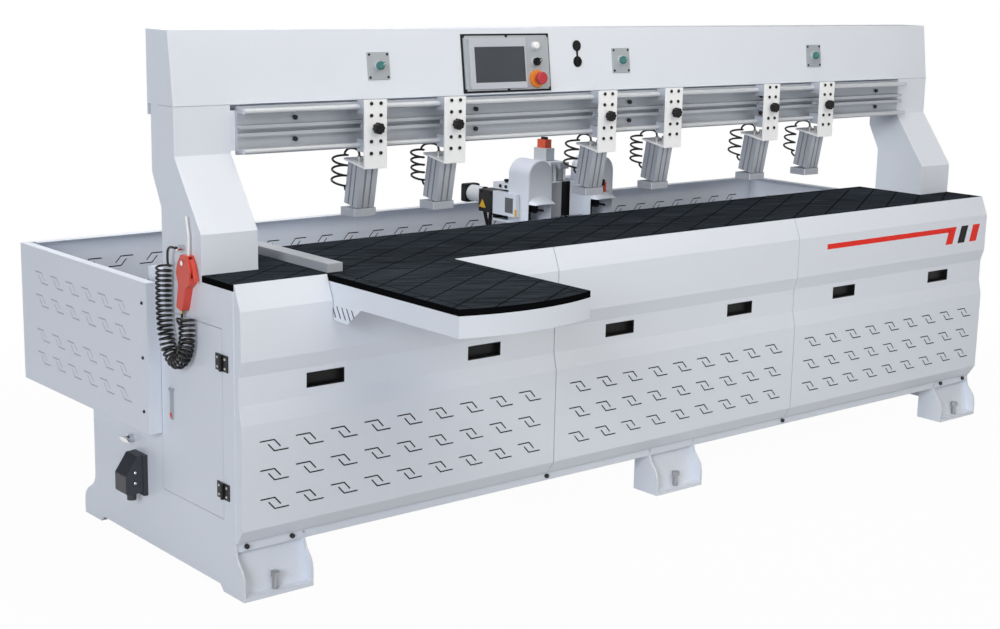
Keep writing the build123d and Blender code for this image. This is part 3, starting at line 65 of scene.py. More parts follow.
def place_camera():
    yaw, pitch, roll = (math.radians(a) for a in CAMERA_TURN)
    ahead = Vector((-math.sin(yaw) * math.cos(pitch), math.cos(yaw) * math.cos(pitch), math.sin(pitch)))
    level = Vector((math.cos(yaw), math.sin(yaw), 0.0))
    above_level = level.cross(ahead)
    right = level * math.cos(roll) + above_level * math.sin(roll)
    up = above_level * math.cos(roll) - level * math.sin(roll)
    data = bpy.data.cameras.new("camera")
    data.sensor_width = 36.0
    data.lens = CAMERA_LENS
    data.shift_x, data.shift_y = CAMERA_SHIFT
    data.clip_end = 100.0
    camera = bpy.data.objects.new("camera", data)
    scene.collection.objects.link(camera)
    turn = Matrix((right, up, -ahead)).transposed().to_4x4()
    camera.matrix_world = Matrix.Translation(CAMERA_PLACE) @ turn
    scene.camera = camera


place_camera()


# Materials
def socket_set(node, values):
    for name, value in values.items():
        node.inputs[name].default_value = value


def material(name, colour, rough=0.4, metal=0.0, grain=400.0, spread=0.05, bump=0.05, stretch=(1, 1, 1),
             edge=0.0012, rough_spread=0.08, coat=0.0, specular=0.5):
    """A surface with mottled colour, uneven gloss, a fine bump and softened edges."""
    made = bpy.data.materials.new(name)
    made.use_nodes = True
    tree = made.node_tree
    add = tree.nodes.new
    link = tree.links.new
    shader = tree.nodes["Principled BSDF"]
    socket_set(shader, {"Metallic": metal, "Coat Weight": coat, "Specular IOR Level": specular})
    place = add("ShaderNodeTexCoord")
    mapping = add("ShaderNodeMapping")
    mapping.inputs["Scale"].default_value = stretch
    link(place.outputs["Object"], mapping.inputs["Vector"])
    cloud = add("ShaderNodeTexNoise")
    socket_set(cloud, {"Scale": 3.0, "Detail": 4.0})
    link(mapping.outputs["Vector"], cloud.inputs["Vector"])
    fine = add("ShaderNodeTexNoise")
    socket_set(fine, {"Scale": grain, "Detail": 3.0})
    link(mapping.outputs["Vector"], fine.inputs["Vector"])
    mottle = math_node(tree, "ADD", cloud.outputs["Fac"], fine.outputs["Fac"])
    tint = add("ShaderNodeMapRange")
    socket_set(tint, {"From Min": 0.6, "From Max": 1.4})
    link(mottle, tint.inputs["Value"])
    mix = add("ShaderNodeMix")
    mix.data_type = "RGBA"
    mix.inputs["A"].default_value = (*[c * (1 - spread) for c in colour], 1)
    mix.inputs["B"].default_value = (*[min(1.0, c * (1 + spread)) for c in colour], 1)
    link(tint.outputs["Result"], mix.inputs["Factor"])
    link(mix.outputs["Result"], shader.inputs["Base Color"])
    gloss = add("ShaderNodeMapRange")
    socket_set(gloss, {"To Min": rough - rough_spread, "To Max": rough + rough_spread})
    link(cloud.outputs["Fac"], gloss.inputs["Value"])
    link(gloss.outputs["Result"], shader.inputs["Roughness"])
    relief = add("ShaderNodeBump")
    socket_set(relief, {"Strength": bump, "Distance": 0.0004})
    link(fine.outputs["Fac"], relief.inputs["Height"])
    soft = add("ShaderNodeBevel")
    soft.samples = 4
    soft.inputs["Radius"].default_value = edge
    link(soft.outputs["Normal"], relief.inputs["Normal"])
    link(relief.outputs["Normal"], shader.inputs["Normal"])
    return made


def math_node(tree, operation, first, second=None):
    """The result of a sum on sockets or numbers."""
    node = tree.nodes.new("ShaderNodeMath")
    node.operation = operation
    for index, value in enumerate((first, second)):
        if value is None:
            continue
        if isinstance(value, (int, float)):
            node.inputs[index].default_value = value
        else:
            tree.links.new(value, node.inputs[index])
    return node.outputs[0]


# The table board: two families of score lines, and on the extension a border line 35 mm inside its straight
# sides and its bowed front
BOARD_COLOUR = (0.0260, 0.0315, 0.0390)
LINE_COLOUR = (0.006, 0.007, 0.009, 1)
SCORE_LINES = ((32.0, 0.093, 1.0), (-40.0, 0.186, 0.2))    # angle in degrees, pitch and darkness
SCORE_HALF = 0.0026
BORDER_HALF = 0.0020
BORDER_X = (-1.365, -0.988)
BOW_CENTRE = (-1.1765, FRONT + 0.053)
BOW_RADIUS = 0.641
BOW_BACK = FRONT - 0.5    # the bow's line lies in front of this
UPPER_FACE = TABLE - 0.0008
STREAK_ANGLE = math.radians(-28.0)
STREAK_SIZE = (0.16, 0.011, 1.0)


def border_line(tree, near, y, limit):
    """Shade of a thin line where a distance is close to nothing, in front of a limit."""
    thin = math_node(tree, "LESS_THAN", math_node(tree, "ABSOLUTE", near), BORDER_HALF)
    return math_node(tree, "MULTIPLY", thin, math_node(tree, "LESS_THAN", y, limit))


def streaks(tree):
    """Long slanting streaks, lighter and darker than the plain colour."""
    place = tree.nodes.new("ShaderNodeTexCoord")
    mapping = tree.nodes.new("ShaderNodeMapping")
    mapping.vector_type = "TEXTURE"
    socket_set(mapping, {"Rotation": (0, 0, STREAK_ANGLE), "Scale": STREAK_SIZE})
    tree.links.new(place.outputs["Object"], mapping.inputs["Vector"])
    noise = tree.nodes.new("ShaderNodeTexNoise")
    socket_set(noise, {"Scale": 1.0, "Detail": 3.0})
    tree.links.new(mapping.outputs["Vector"], noise.inputs["Vector"])
    share = tree.nodes.new("ShaderNodeMapRange")
    socket_set(share, {"From Min": 0.3, "From Max": 0.7, "To Min": 0.45, "To Max": 1.55})
    tree.links.new(noise.outputs["Fac"], share.inputs["Value"])
    return share.outputs["Result"]


def board_lines(tree):
    """Shade of the lines on the board's upper face."""
    place = tree.nodes.new("ShaderNodeTexCoord")
    split = tree.nodes.new("ShaderNodeSeparateXYZ")
    tree.links.new(place.outputs["Object"], split.inputs["Vector"])
    lines = []
    for angle, pitch, darkness in SCORE_LINES:
        slant = math.radians(angle)
        along = math_node(tree, "MULTIPLY", split.outputs["X"], math.sin(slant))
        across = math_node(tree, "MULTIPLY", split.outputs["Y"], math.cos(slant))
        offset = math_node(tree, "SUBTRACT", across, along)
        saw = math_node(tree, "PINGPONG", offset, pitch / 2)
        line = math_node(tree, "LESS_THAN", saw, SCORE_HALF)
        lines.append(math_node(tree, "MULTIPLY", line, darkness))
    for x in BORDER_X:
        near = math_node(tree, "SUBTRACT", split.outputs["X"], x)
        lines.append(border_line(tree, near, split.outputs["Y"], FRONT))
    from_centre = [math_node(tree, "SUBTRACT", split.outputs[axis], middle)
                   for axis, middle in zip("XY", BOW_CENTRE)]
    squares = [math_node(tree, "MULTIPLY", value, value) for value in from_centre]
    radius = math_node(tree, "SQRT", math_node(tree, "ADD", *squares))
    near = math_node(tree, "SUBTRACT", radius, BOW_RADIUS)
    lines.append(border_line(tree, near, split.outputs["Y"], BOW_BACK))
    shade = lines[0]
    for line in lines[1:]:
        shade = math_node(tree, "MAXIMUM", shade, line)
    upper_face = math_node(tree, "GREATER_THAN", split.outputs["Z"], UPPER_FACE)
    return math_node(tree, "MULTIPLY", shade, upper_face)


def board_material():
    """Black laminate with slanting score lines, fine streaks and a line along the edges of the extension."""
    made = material("table_board", BOARD_COLOUR, rough=0.55, grain=260.0, spread=0.35, bump=0.25,
                    stretch=(0.25, 1.6, 1), edge=0.0015, specular=0.0)
    tree = made.node_tree
    shader = tree.nodes["Principled BSDF"]
    plain = shader.inputs["Base Color"].links[0].from_socket
    streaked = tree.nodes.new("ShaderNodeMix")
    streaked.data_type = "RGBA"
    streaked.blend_type = "MULTIPLY"
    streaked.inputs["Factor"].default_value = 1.0
    tree.links.new(plain, streaked.inputs["A"])
    tree.links.new(streaks(tree), streaked.inputs["B"])
    mix = tree.nodes.new("ShaderNodeMix")
    mix.data_type = "RGBA"
    mix.inputs["B"].default_value = LINE_COLOUR
    tree.links.new(board_lines(tree), mix.inputs["Factor"])
    tree.links.new(streaked.outputs["Result"], mix.inputs["A"])
    tree.links.new(mix.outputs["Result"], shader.inputs["Base Color"])
    return made


COATED = {"rough": 0.38, "grain": 700.0, "spread": 0.012, "bump": 0.035, "edge": 0.002, "coat": 0.1,
          "specular": 0.35}
BRUSHED = {"rough": 0.42, "grain": 300.0, "spread": 0.06}
ALONG_X = (0.05, 1, 1)    # stretch of the grain along one axis
ALONG_Y = (1, 0.05, 1)
ALONG_Z = (1, 1, 0.06)

PAINT = material("body_paint", (0.72, 0.765, 0.845), **COATED)
# painted light: a lighter copy of the body paint for the clamp brackets, making up for the beam's shade on
# them
LIT_BRACKET_PAINT = material("bracket_paint", (0.90, 0.92, 0.95), **COATED)
BOARD = board_material()
BOARD_EDGE = material("board_edge", (0.0045, 0.0048, 0.0055), rough=0.5, grain=600.0, spread=0.2, bump=0.1,
                      edge=0.0, specular=0.0)
RAIL = material("rail_aluminium", (0.50, 0.53, 0.58), metal=0.5, bump=0.06, stretch=ALONG_X, **BRUSHED)
FENCE = material("fence_aluminium", (0.56, 0.59, 0.64), metal=0.35, bump=0.06, stretch=ALONG_Y, **BRUSHED)
CYLINDER = material("cylinder", (0.48, 0.51, 0.57), metal=0.55, bump=0.05, stretch=ALONG_Z, **BRUSHED)
# painted shade: a darker copy of the cylinders' aluminium for the floors and walls of their grooves
GROOVE_SHADE = material("cylinder_groove", (0.27, 0.29, 0.33), rough=0.5, metal=0.4, grain=300.0, spread=0.06,
                  bump=0.05, stretch=ALONG_Z)
ROD = material("rod_steel", (0.62, 0.65, 0.70), rough=0.42, metal=0.3, grain=500.0, spread=0.02, bump=0.01,
               edge=0.0)
STEEL = material("ground_steel", (0.56, 0.57, 0.58), rough=0.24, metal=1.0, grain=350.0, spread=0.05,
                 bump=0.04, stretch=ALONG_X)
CHROME = material("chrome", (0.72, 0.73, 0.74), rough=0.12, metal=1.0, grain=300.0, spread=0.03, bump=0.02,
                  rough_spread=0.03)
ZINC = material("zinc", (0.58, 0.58, 0.56), rough=0.34, metal=0.9, grain=500.0, spread=0.1, bump=0.08)
BOLT = material("bolt_steel", (0.36, 0.37, 0.39), rough=0.36, metal=0.8, grain=500.0, spread=0.1, bump=0.08)
BLACK = material("black_plastic", (0.007, 0.007, 0.008), rough=0.42, grain=900.0, spread=0.2, bump=0.12,
                 edge=0.0008, specular=0.25)
BLACK_METAL = material("black_metal", (0.010, 0.010, 0.012), rough=0.36, grain=700.0, spread=0.2, bump=0.08,
                       specular=0.3)
DARK = material("black_oxide", (0.03, 0.03, 0.032), rough=0.36, metal=0.7, grain=600.0, spread=0.2, bump=0.06)
GREY = material("grey_plastic", (0.40, 0.43, 0.47), rough=0.45, grain=800.0, spread=0.05, bump=0.06,
                edge=0.0008)
PALE = material("pale_plastic", (0.62, 0.65, 0.68), rough=0.42, grain=800.0, spread=0.04, bump=0.05,
                edge=0.0008)
PLATE = material("panel_plate", (0.42, 0.455, 0.50), rough=0.4, metal=0.2, grain=600.0, spread=0.03,
                 bump=0.03, stretch=(0.1, 1, 1), edge=0.0008)
BEZEL = material("bezel_plastic", (0.48, 0.51, 0.57), rough=0.4, grain=800.0, spread=0.03, bump=0.04,
                 edge=0.0008)
WHITE = material("white_plastic", (0.82, 0.83, 0.83), rough=0.3, grain=700.0, spread=0.03, bump=0.03,
                 edge=0.0006)
RED = material("red_plastic", (0.70, 0.075, 0.05), rough=0.34, grain=600.0, spread=0.08, bump=0.06,
               edge=0.0015)
CRIMSON = material("crimson_plastic", (0.46, 0.040, 0.050), rough=0.3, grain=600.0, spread=0.08, bump=0.04,
                   edge=0.0015)
RED_PAINT = material("red_paint", (0.80, 0.030, 0.018), rough=0.4, grain=700.0, spread=0.03, bump=0.02,
                     edge=0.0, specular=0.15)
BLACK_PAINT = material("black_paint", (0.006, 0.006, 0.008), rough=0.4, grain=700.0, spread=0.1, bump=0.02,
                       edge=0.0, specular=0.15)
SLATE = material("slate_plastic", (0.030, 0.034, 0.042), rough=0.45, grain=700.0, spread=0.15, bump=0.1,
                 edge=0.0008)
YELLOW_PAINT = material("yellow_paint", (0.72, 0.42, 0.03), rough=0.4, grain=700.0, spread=0.05, bump=0.02,
                        edge=0.0, specular=0.2)
DARK_GREY = material("dark_grey_plastic", (0.11, 0.115, 0.125), rough=0.4, grain=500.0, spread=0.1, bump=0.05)
ORANGE_RED = material("orange_red_plastic", (0.76, 0.10, 0.035), rough=0.36, grain=600.0, spread=0.06,
                      bump=0.04)
ORANGE = material("orange_plastic", (0.78, 0.24, 0.03), rough=0.38, grain=600.0, spread=0.06, bump=0.04)
GREEN = material("green_plastic", (0.06, 0.20, 0.19), rough=0.25, grain=600.0, spread=0.06, bump=0.03,
                 edge=0.0006)
SCREEN = material("screen_glass", (0.065, 0.072, 0.085), rough=0.16, grain=200.0, spread=0.12, bump=0.0,
                  rough_spread=0.04)
# painted shade: a near-black sheet seen through the vent marks and in the gussets' slots, in place of the
# shaded inside
SHADE_SCREEN = material("vent_screen", (0.012, 0.013, 0.015), rough=0.6, grain=900.0, spread=0.3, bump=0.3,
                       edge=0.0, specular=0.1)
BRASS = material("brass", (0.62, 0.47, 0.22), rough=0.3, metal=1.0, grain=500.0, spread=0.08, bump=0.05)
RUBBER = material("hose_rubber", (0.007, 0.007, 0.008), rough=0.3, grain=900.0, spread=0.2, bump=0.05,
                  edge=0.0)


# Materials on the CAD nodes
def dress(node, base, *rules):
    """Base material on a CAD node, and others on the faces that a rule picks by centre and normal."""
    mesh = nodes[node].data
    mesh.materials.clear()
    mesh.materials.append(base)
    for other, _ in rules:
        mesh.materials.append(other)
    for polygon in mesh.polygons:
        polygon.material_index = 0
        for index, (_, picks) in enumerate(rules, start=1):
            if picks(polygon.center, polygon.normal):
                polygon.material_index = index
                break


def above(height):
    """Picks the faces above a height."""
    return lambda c, n: c.z > height


def behind(y):
    """Picks the faces behind a place."""
    return lambda c, n: c.y > y


def left_of(x):
    """Picks the faces to the left of a place."""
    return lambda c, n: c.x < x


# Base: levelling bolts, rods of the clamp rail, painted shade on the walls of the slots in the extension's
# gussets
BOLT_X = 1.5885           # levelling bolts of the end feet
BOLT_Y = (FRONT - 0.020, FRONT + 0.907)
BOLT_Z = (0.0121, 0.0625)
BOLT_REACH = 0.0142
ROD_Y = FRONT + 0.261
ROD_Z = (1.198, 1.310)
ROD_REACH = 0.0082
GUSSET_X = (-1.398, -0.955)
GUSSET_HALF = 0.0021
GUSSET_ROOT = FRONT + 0.005
GUSSET_TOP = TABLE - BOARD_THICKNESS - 0.058
GUSSET_LOW = GUSSET_TOP - 0.047
GUSSET_LENGTH = 0.100     # along its lower edge
GUSSET_SLANT = 0.065      # how much longer its upper edge is
GUSSET_RIM = 0.08         # share of its height that is no slot wall
GUSSET_EDGE = 0.002
PEG_FOOT = -END - 0.0005  # the gun's peg and the hose's gland stand out from here


def bolt_rule(x):
    """Picks the faces of the levelling bolts at one place along the machine."""
    def picks(c, n):
        near = min(math.hypot(c.x - x, c.y - y) for y in BOLT_Y)
        return near < BOLT_REACH and BOLT_Z[0] < c.z < BOLT_Z[1]
    return picks


def rod_rule(c, n):
    """Picks the faces of the two round rods."""
    return min(math.hypot(c.y - ROD_Y, c.z - z) for z in ROD_Z) < ROD_REACH


def gusset_slot_shade_rule(c, n):
    """Picks the walls of the slots in the gussets under the extension, which get a dark painted shade."""
    rise = (c.z - GUSSET_LOW) / (GUSSET_TOP - GUSSET_LOW)
    front = GUSSET_ROOT - GUSSET_LENGTH - GUSSET_SLANT * rise
    along = front + GUSSET_EDGE < c.y < GUSSET_ROOT - GUSSET_EDGE
    upright = GUSSET_RIM < rise < 1 - GUSSET_RIM
    return along and upright and abs(n.x) < 0.5 and min(abs(c.x - x) for x in GUSSET_X) < GUSSET_HALF


dress("extension_table", PAINT, (SHADE_SCREEN, gusset_slot_shade_rule))
for name in ("front_cover_left", "front_cover_middle", "front_cover_right", "rear_guard_left",
             "rear_guard_right", "rear_guard_back", "control_beam"):
    dress(name, PAINT)
dress("base_frame", PAINT, (BOLT, bolt_rule(0.0)))
dress("right_end_frame", PAINT, (BOLT, bolt_rule(BOLT_X)))
dress("left_end_frame", PAINT, (CHROME, left_of(PEG_FOOT)), (BOLT, bolt_rule(-BOLT_X)))
dress("table_top", BOARD, (BOARD_EDGE, lambda c, n: abs(n.z) < 0.5))
dress("side_fence", FENCE)
dress("cover_pulls", BLACK)
dress("clamp_rail", RAIL, (ROD, rod_rule))
dress("hmi_screen", SCREEN)
dress("door_hinges", BLACK_METAL)
dress("x_rails", STEEL)
dress("fasteners", DARK)
dress("gun_trigger", RED)
dress("estop_button", CRIMSON)
dress("start_button", WHITE)
dress("mode_selector", BLACK)
dress("gun_hose", RUBBER)
for number in (1, 2, 3):
    dress(f"clamp_switch_{number}", GREEN)
for number in (1, 2):
    dress(f"drill_motor_{number}", BLACK_METAL)
    dress(f"spindle_{number}", BLACK_METAL)

# Door: hinge leaves at its front, the latch's lugs at its back
DOOR_FACE = -END - 0.0001
LATCH_SIDE = FRONT + 0.2
LATCH_BUTTON = -END - 0.0054
dress("cabinet_door", PAINT,
      (GREY, lambda c, n: c.x < DOOR_FACE and c.y > LATCH_SIDE),
      (BLACK_METAL, left_of(DOOR_FACE)))
dress("door_latch", GREY, (RED, left_of(LATCH_BUTTON)))

# Operator panel and switch plates, by how far a face stands out from the beam
GASKET_FACE = 0.0031
PLATE_FACE = 0.0075
SWITCH_FACE = 0.0035
BUTTON_X = -0.388         # column of buttons
STOP_RING_HALF = 0.03
STOP_RING_TOP = 0.074
COLLAR_HALF = 0.02
USB_X = -0.197
USB_HALF = 0.02


def panel_place(point):
    """Place on the beam's leaning face: along it, up it and out of it."""
    offset = point - PANEL_FOOT
    return offset.x, offset.dot(PANEL_UP), offset.dot(PANEL_OUT)


def stands_out(least, half_width=math.inf, top=math.inf):
    """Picks the faces that stand out, near the column of buttons and below a place where these are given."""
    def picks(c, n):
        along, up, out = panel_place(c)
        return out > least and abs(along - BUTTON_X) < half_width and up < top
    return picks


dress("hmi_panel", PLATE,
      (BLACK, lambda c, n: panel_place(c)[2] < GASKET_FACE),
      (ORANGE, stands_out(PLATE_FACE, STOP_RING_HALF, STOP_RING_TOP)),
      (ROD, stands_out(PLATE_FACE, COLLAR_HALF)),
      (BEZEL, stands_out(PLATE_FACE)))
dress("panel_fittings", PLATE,
      (BLACK, lambda c, n: abs(c.x - USB_X) < USB_HALF),
      (ROD, stands_out(SWITCH_FACE)))

# Left end: connectors, the gear behind the door, the blow gun
VALVE_LOW = 0.295
GEAR_FACE = -0.5805
NOZZLE_LOW = 0.9305
INLET_TOP = 0.773
INLET_Y = (FRONT + 0.244, FRONT + 0.264)
dress("side_connectors", SLATE, (CHROME, above(VALVE_LOW)))
dress("control_gear", ZINC, (GREY, left_of(GEAR_FACE)))
dress("blow_gun", RED,
      (WHITE, above(NOZZLE_LOW)),
      (BRASS, lambda c, n: c.z < INLET_TOP and n.z < 0.9 and INLET_Y[0] < c.y < INLET_Y[1]))

# Drilling unit
SADDLE_TOP = 0.697        # a cover stands on its left part and a motor on its right part
SADDLE_MIDDLE = 0.05
COLUMN_TOP = 1.0561       # the motor, its cap and its plug stand on the column
COLUMN_CAP = 1.1001
COLUMN_PLUG = 1.1301
COLUMN_FACE = FRONT + 0.5749
LIMIT_LOW = 0.99          # limit switch in front of the column
LIMIT_X = -0.036
LIMIT_HALF = 0.021
BRIDGE_FRONT = (FRONT + 0.5395, FRONT + 0.5402)
BRIDGE_CHANNEL = FRONT + 0.5502
CHANNEL_X = -0.033
CHANNEL_HALF = 0.0205
BRIDGE_X = (-0.131, -0.053)
BRIDGE_Z = (0.868, 0.99)
DRIVE_BLOCK = FRONT + 0.6735
DRIVE_MOTOR = FRONT + 0.7545
DRIVE_CAP = FRONT + 0.8245
DRIVE_FOOT = 0.8775


def limit_switch_rule(c, n):
    """Picks the limit switch and its post, high in front of the column."""
    return c.y < COLUMN_FACE and c.z > LIMIT_LOW and abs(c.x - LIMIT_X) < LIMIT_HALF


def channel_rule(c, n):
    """Picks the walls of the channel in the bridge between the hoods."""
    return BRIDGE_FRONT[1] < c.y < BRIDGE_CHANNEL and abs(c.x - CHANNEL_X) < CHANNEL_HALF


def bridge_face_rule(c, n):
    """Picks the bridge's front face to the left of the channel."""
    across = BRIDGE_X[0] < c.x < BRIDGE_X[1] and BRIDGE_Z[0] < c.z < BRIDGE_Z[1]
    return across and BRIDGE_FRONT[0] < c.y < BRIDGE_FRONT[1]


dress("x_saddle", GREY,
      (PAINT, lambda c, n: c.z > SADDLE_TOP and c.x < -SADDLE_MIDDLE),
      (BLACK_METAL, lambda c, n: c.z > SADDLE_TOP and c.x > SADDLE_MIDDLE))
dress("z_column", PAINT,
      (BLACK, above(COLUMN_PLUG)),
      (ORANGE_RED, above(COLUMN_CAP)),
      (PALE, above(COLUMN_TOP)),
      (GREY, limit_switch_rule),
      (STEEL, lambda c, n: c.y < COLUMN_FACE))
dress("z_carrier", PAINT, (BLACK, channel_rule), (GREY, bridge_face_rule))
dress("feed_drive", PAINT,
      (BLACK, behind(DRIVE_CAP)),
      (PALE, behind(DRIVE_MOTOR)),
      (BLACK_METAL, lambda c, n: c.y > DRIVE_BLOCK or c.z < DRIVE_FOOT))

# Clamps: the cylinder leans, and hangs under the bracket's flange
BRACKET_FACE = FRONT + 0.215
TILT_ANGLE = math.radians(10.0)
TILT = math.tan(TILT_ANGLE)
FLANGE = Vector((0.0, math.cos(TILT_ANGLE), math.sin(TILT_ANGLE)))
CYLINDER_OUT = 0.064      # middle of the cylinder along the flange
CYLINDER_TOP = Vector((0.0, BRACKET_FACE, 1.131)) + FLANGE * CYLINDER_OUT
CYLINDER_EDGE = 1.1295
GROOVE_HALF = (0.0317, 0.0327)
GROOVE_DROP = 0.012
SLIDER_FRONT = FRONT + 0.2212
SLIDER_LOW = 1.170
KNOB_STUD = FRONT + 0.222  # its stud behind the bracket
PORT = Vector((0.016, FRONT + 0.278, 1.1480))
PORT_REACH = 0.0076
PORT_FRONT = FRONT + 0.25
PORT_STEP = 0.0005


def clamp_rules(x):
    """Materials of a clamp's carriage at one place along the rail."""
    # the groove floors and walls, which take the painted shade
    def groove(c, n):
        depth = (c - CYLINDER_TOP).dot(FLANGE)
        inside = abs(c.x - x) < GROOVE_HALF[0] and abs(depth) < GROOVE_HALF[1]
        return inside and abs(n.z) < 0.6 and c.z < CYLINDER_TOP.z - GROOVE_DROP

    def slider(c, n):
        return c.y > SLIDER_FRONT and c.z > SLIDER_LOW

    def port(c, n):
        near = abs(abs(c.x - x) - PORT.x) < PORT_REACH and c.y > PORT_FRONT
        return near and c.z > PORT.z + (c.y - PORT.y) * TILT + PORT_STEP

    def cylinder(c, n):
        return c.z < CYLINDER_EDGE + (c.y - BRACKET_FACE) * TILT

    return (GROOVE_SHADE, groove), (RAIL, slider), (ZINC, port), (CYLINDER, cylinder)


for number, x in enumerate(CLAMPS, start=1):
    # the brackets take the lighter copy of the body paint, which is painted light
    dress(f"clamp_carriage_{number}", LIT_BRACKET_PAINT, *clamp_rules(x))
    dress(f"clamp_foot_{number}", CYLINDER)
    dress(f"clamp_knob_{number}", BLACK, (RAIL, behind(KNOB_STUD)))


# Pieces made here
UPRIGHT = Matrix.Identity(4)
PANEL_AXES = Matrix((SIDEWAYS, PANEL_UP, PANEL_OUT)).transposed().to_4x4()


def piece(name, mesh, surface, body):
    """A mesh with one material that moves with a CAD body."""
    mesh.materials.append(surface)
    made = bpy.data.objects.new(name, mesh)
    scene.collection.objects.link(made)
    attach(made, body)
    return made


def axes_along(direction):
    """A rotation whose Z runs along the direction."""
    return Vector(direction).to_track_quat("Z", "Y").to_matrix().to_4x4()


def ring_faces(shape, rings):
    """Skin between rings of the same number of points, capped at both ends."""
    loops = [[shape.verts.new(point) for point in ring] for ring in rings]
    count = len(loops[0])
    for low, high in zip(loops, loops[1:]):
        for k in range(count):
            shape.faces.new((low[k], low[(k + 1) % count], high[(k + 1) % count], high[k]))
    shape.faces.new(list(reversed(loops[0])))
    shape.faces.new(loops[-1])


def circle(radius, height, sides):
    angles = [2 * math.pi * k / sides for k in range(sides)]
    return [Vector((radius * math.cos(angle), radius * math.sin(angle), height)) for angle in angles]


def turned(places, direction, profile, sides=20):
    """A mesh of equal turned bodies: profile is (radius, height) along the direction."""
    shape = bmesh.new()
    turn = axes_along(direction)
    for place in places:
        move = Matrix.Translation(place) @ turn
        ring_faces(shape, [[move @ point for point in circle(r, h, sides)] for r, h in profile])
    mesh = bpy.data.meshes.new("turned")
    shape.to_mesh(mesh)
    shape.free()
    return mesh


def screw_heads(name, places, direction, radius, surface, body):
    """Socket screws: a rounded head with a recess in its top."""
    height = radius * 0.7
    profile = [(radius, 0.0), (radius, height * 0.7), (radius * 0.82, height), (radius * 0.5, height),
               (radius * 0.45, height * 0.35)]
    return piece(name, turned(places, direction, profile, sides=12), surface, body)


def slabs(places, axes, size):
    """Boxes of one size, centred on the places, with a small chamfer along every edge."""
    shape = bmesh.new()
    for place in places:
        made = bmesh.ops.create_cube(shape, size=1.0)["verts"]
        bmesh.ops.scale(shape, vec=size, verts=made)
        bmesh.ops.transform(shape, matrix=Matrix.Translation(place) @ axes, verts=made)
    edges = list(shape.edges)
    bmesh.ops.bevel(shape, geom=edges, offset=min(size) * 0.12, segments=1, affect="EDGES")
    mesh = bpy.data.meshes.new("slabs")
    shape.to_mesh(mesh)
    shape.free()
    return mesh


def both(half):
    """Equal distances to either side."""
    return -half, half


def on_panel(along, up, out=0.0):
    """Point from its place on the beam's leaning face."""
    return PANEL_FOOT + Vector((along, 0, 0)) + PANEL_UP * up + PANEL_OUT * out


# Cords
CORD_STEPS = 4            # straight steps between two control points of a cord
AXIS_STEPS = 24           # and of a coil's axis
HELIX_STEPS = 18          # points on each turn of a coil


def route_curve(name, points, steps):
    """A smooth curve with a route's points as its control points."""
    data = bpy.data.curves.new(name, "CURVE")
    data.dimensions = "3D"
    spline = data.splines.new("NURBS")
    spline.points.add(len(points) - 1)
    for slot, point in zip(spline.points, points):
        slot.co = (*point, 1.0)
    spline.order_u = 3
    spline.use_endpoint_u = True
    spline.resolution_u = steps
    return data


def route_points(points, steps):
    """Points read from the smooth curve of a route."""
    holder = bpy.data.objects.new("route", route_curve("route", points, steps))
    mesh = bpy.data.meshes.new_from_object(holder)
    found = [vertex.co.copy() for vertex in mesh.vertices]
    bpy.data.objects.remove(holder)
    bpy.data.meshes.remove(mesh)
    return found


def route_length(points):
    line = route_points(points, CORD_STEPS)
    return sum((b - a).length for a, b in zip(line, line[1:]))


def coil_points(axis_route, radius, pitch, start_turn, end_turn):
    """A helix round a route, from one part of a turn to another. A negative pitch winds it the other way."""
    axis = route_points(axis_route, AXIS_STEPS)
    lengths = [0.0]
    for a, b in zip(axis, axis[1:]):
        lengths.append(lengths[-1] + (b - a).length)
    total = lengths[-1]
    sign = 1.0 if pitch > 0 else -1.0
    part_turn = sign * (end_turn - start_turn)
    turns = round(total / abs(pitch) - part_turn) + part_turn
    count = int(turns * HELIX_STEPS)
    found = []
    index = 0
    for k in range(count + 1):
        share = k / count
        place = share * total
        while index < len(lengths) - 2 and lengths[index + 1] < place:
            index += 1
        span = lengths[index + 1] - lengths[index]
        part = (place - lengths[index]) / span if span > 0 else 0.0
        centre = axis[index].lerp(axis[index + 1], part)
        along = (axis[index + 1] - axis[index]).normalized()
        across = along.cross(SIDEWAYS).normalized()
        angle = 2 * math.pi * (start_turn + sign * share * turns)
        found.append(centre + SIDEWAYS * (radius * math.cos(angle)) + across * (radius * math.sin(angle)))
    return found


def tube(name, points, radius, surface, body):
    """A round tube along the smooth curve of a route."""
    data = route_curve(name, points, CORD_STEPS)
    data.bevel_depth = radius
    data.bevel_resolution = 3
    data.use_fill_caps = True
    data.materials.append(surface)
    made = bpy.data.objects.new(name, data)
    scene.collection.objects.link(made)
    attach(made, body)
    return made


HOSE_R = 0.0035
HOSE_COIL_R = 0.0203
HOSE_PITCH = -0.0145
HOSE_TURN = (0.164, 0.5)  # where the coil starts and ends, in parts of a turn
COIL_X = -1.728
GUN_X = -1.712
HOSE_ENTRY = 0.005        # straight runs along the coil's first and last turn
HOSE_LEAVE = 0.012
# Distance behind the table's front edge, and height, in millimetres
HOSE_LEAD = [(258, 945), (282, 947), (303, 937), (304, 915), (304, 896)]
HOSE_AXIS = [(327, 888), (329, 850), (331, 800), (330, 748), (324, 694), (302, 645), (262, 620), (222, 643),
             (202, 690), (202, 732), (205, 758)]


def gun_route(points):
    return [Vector((COIL_X, FRONT + y / 1000, z / 1000)) for y, z in points]


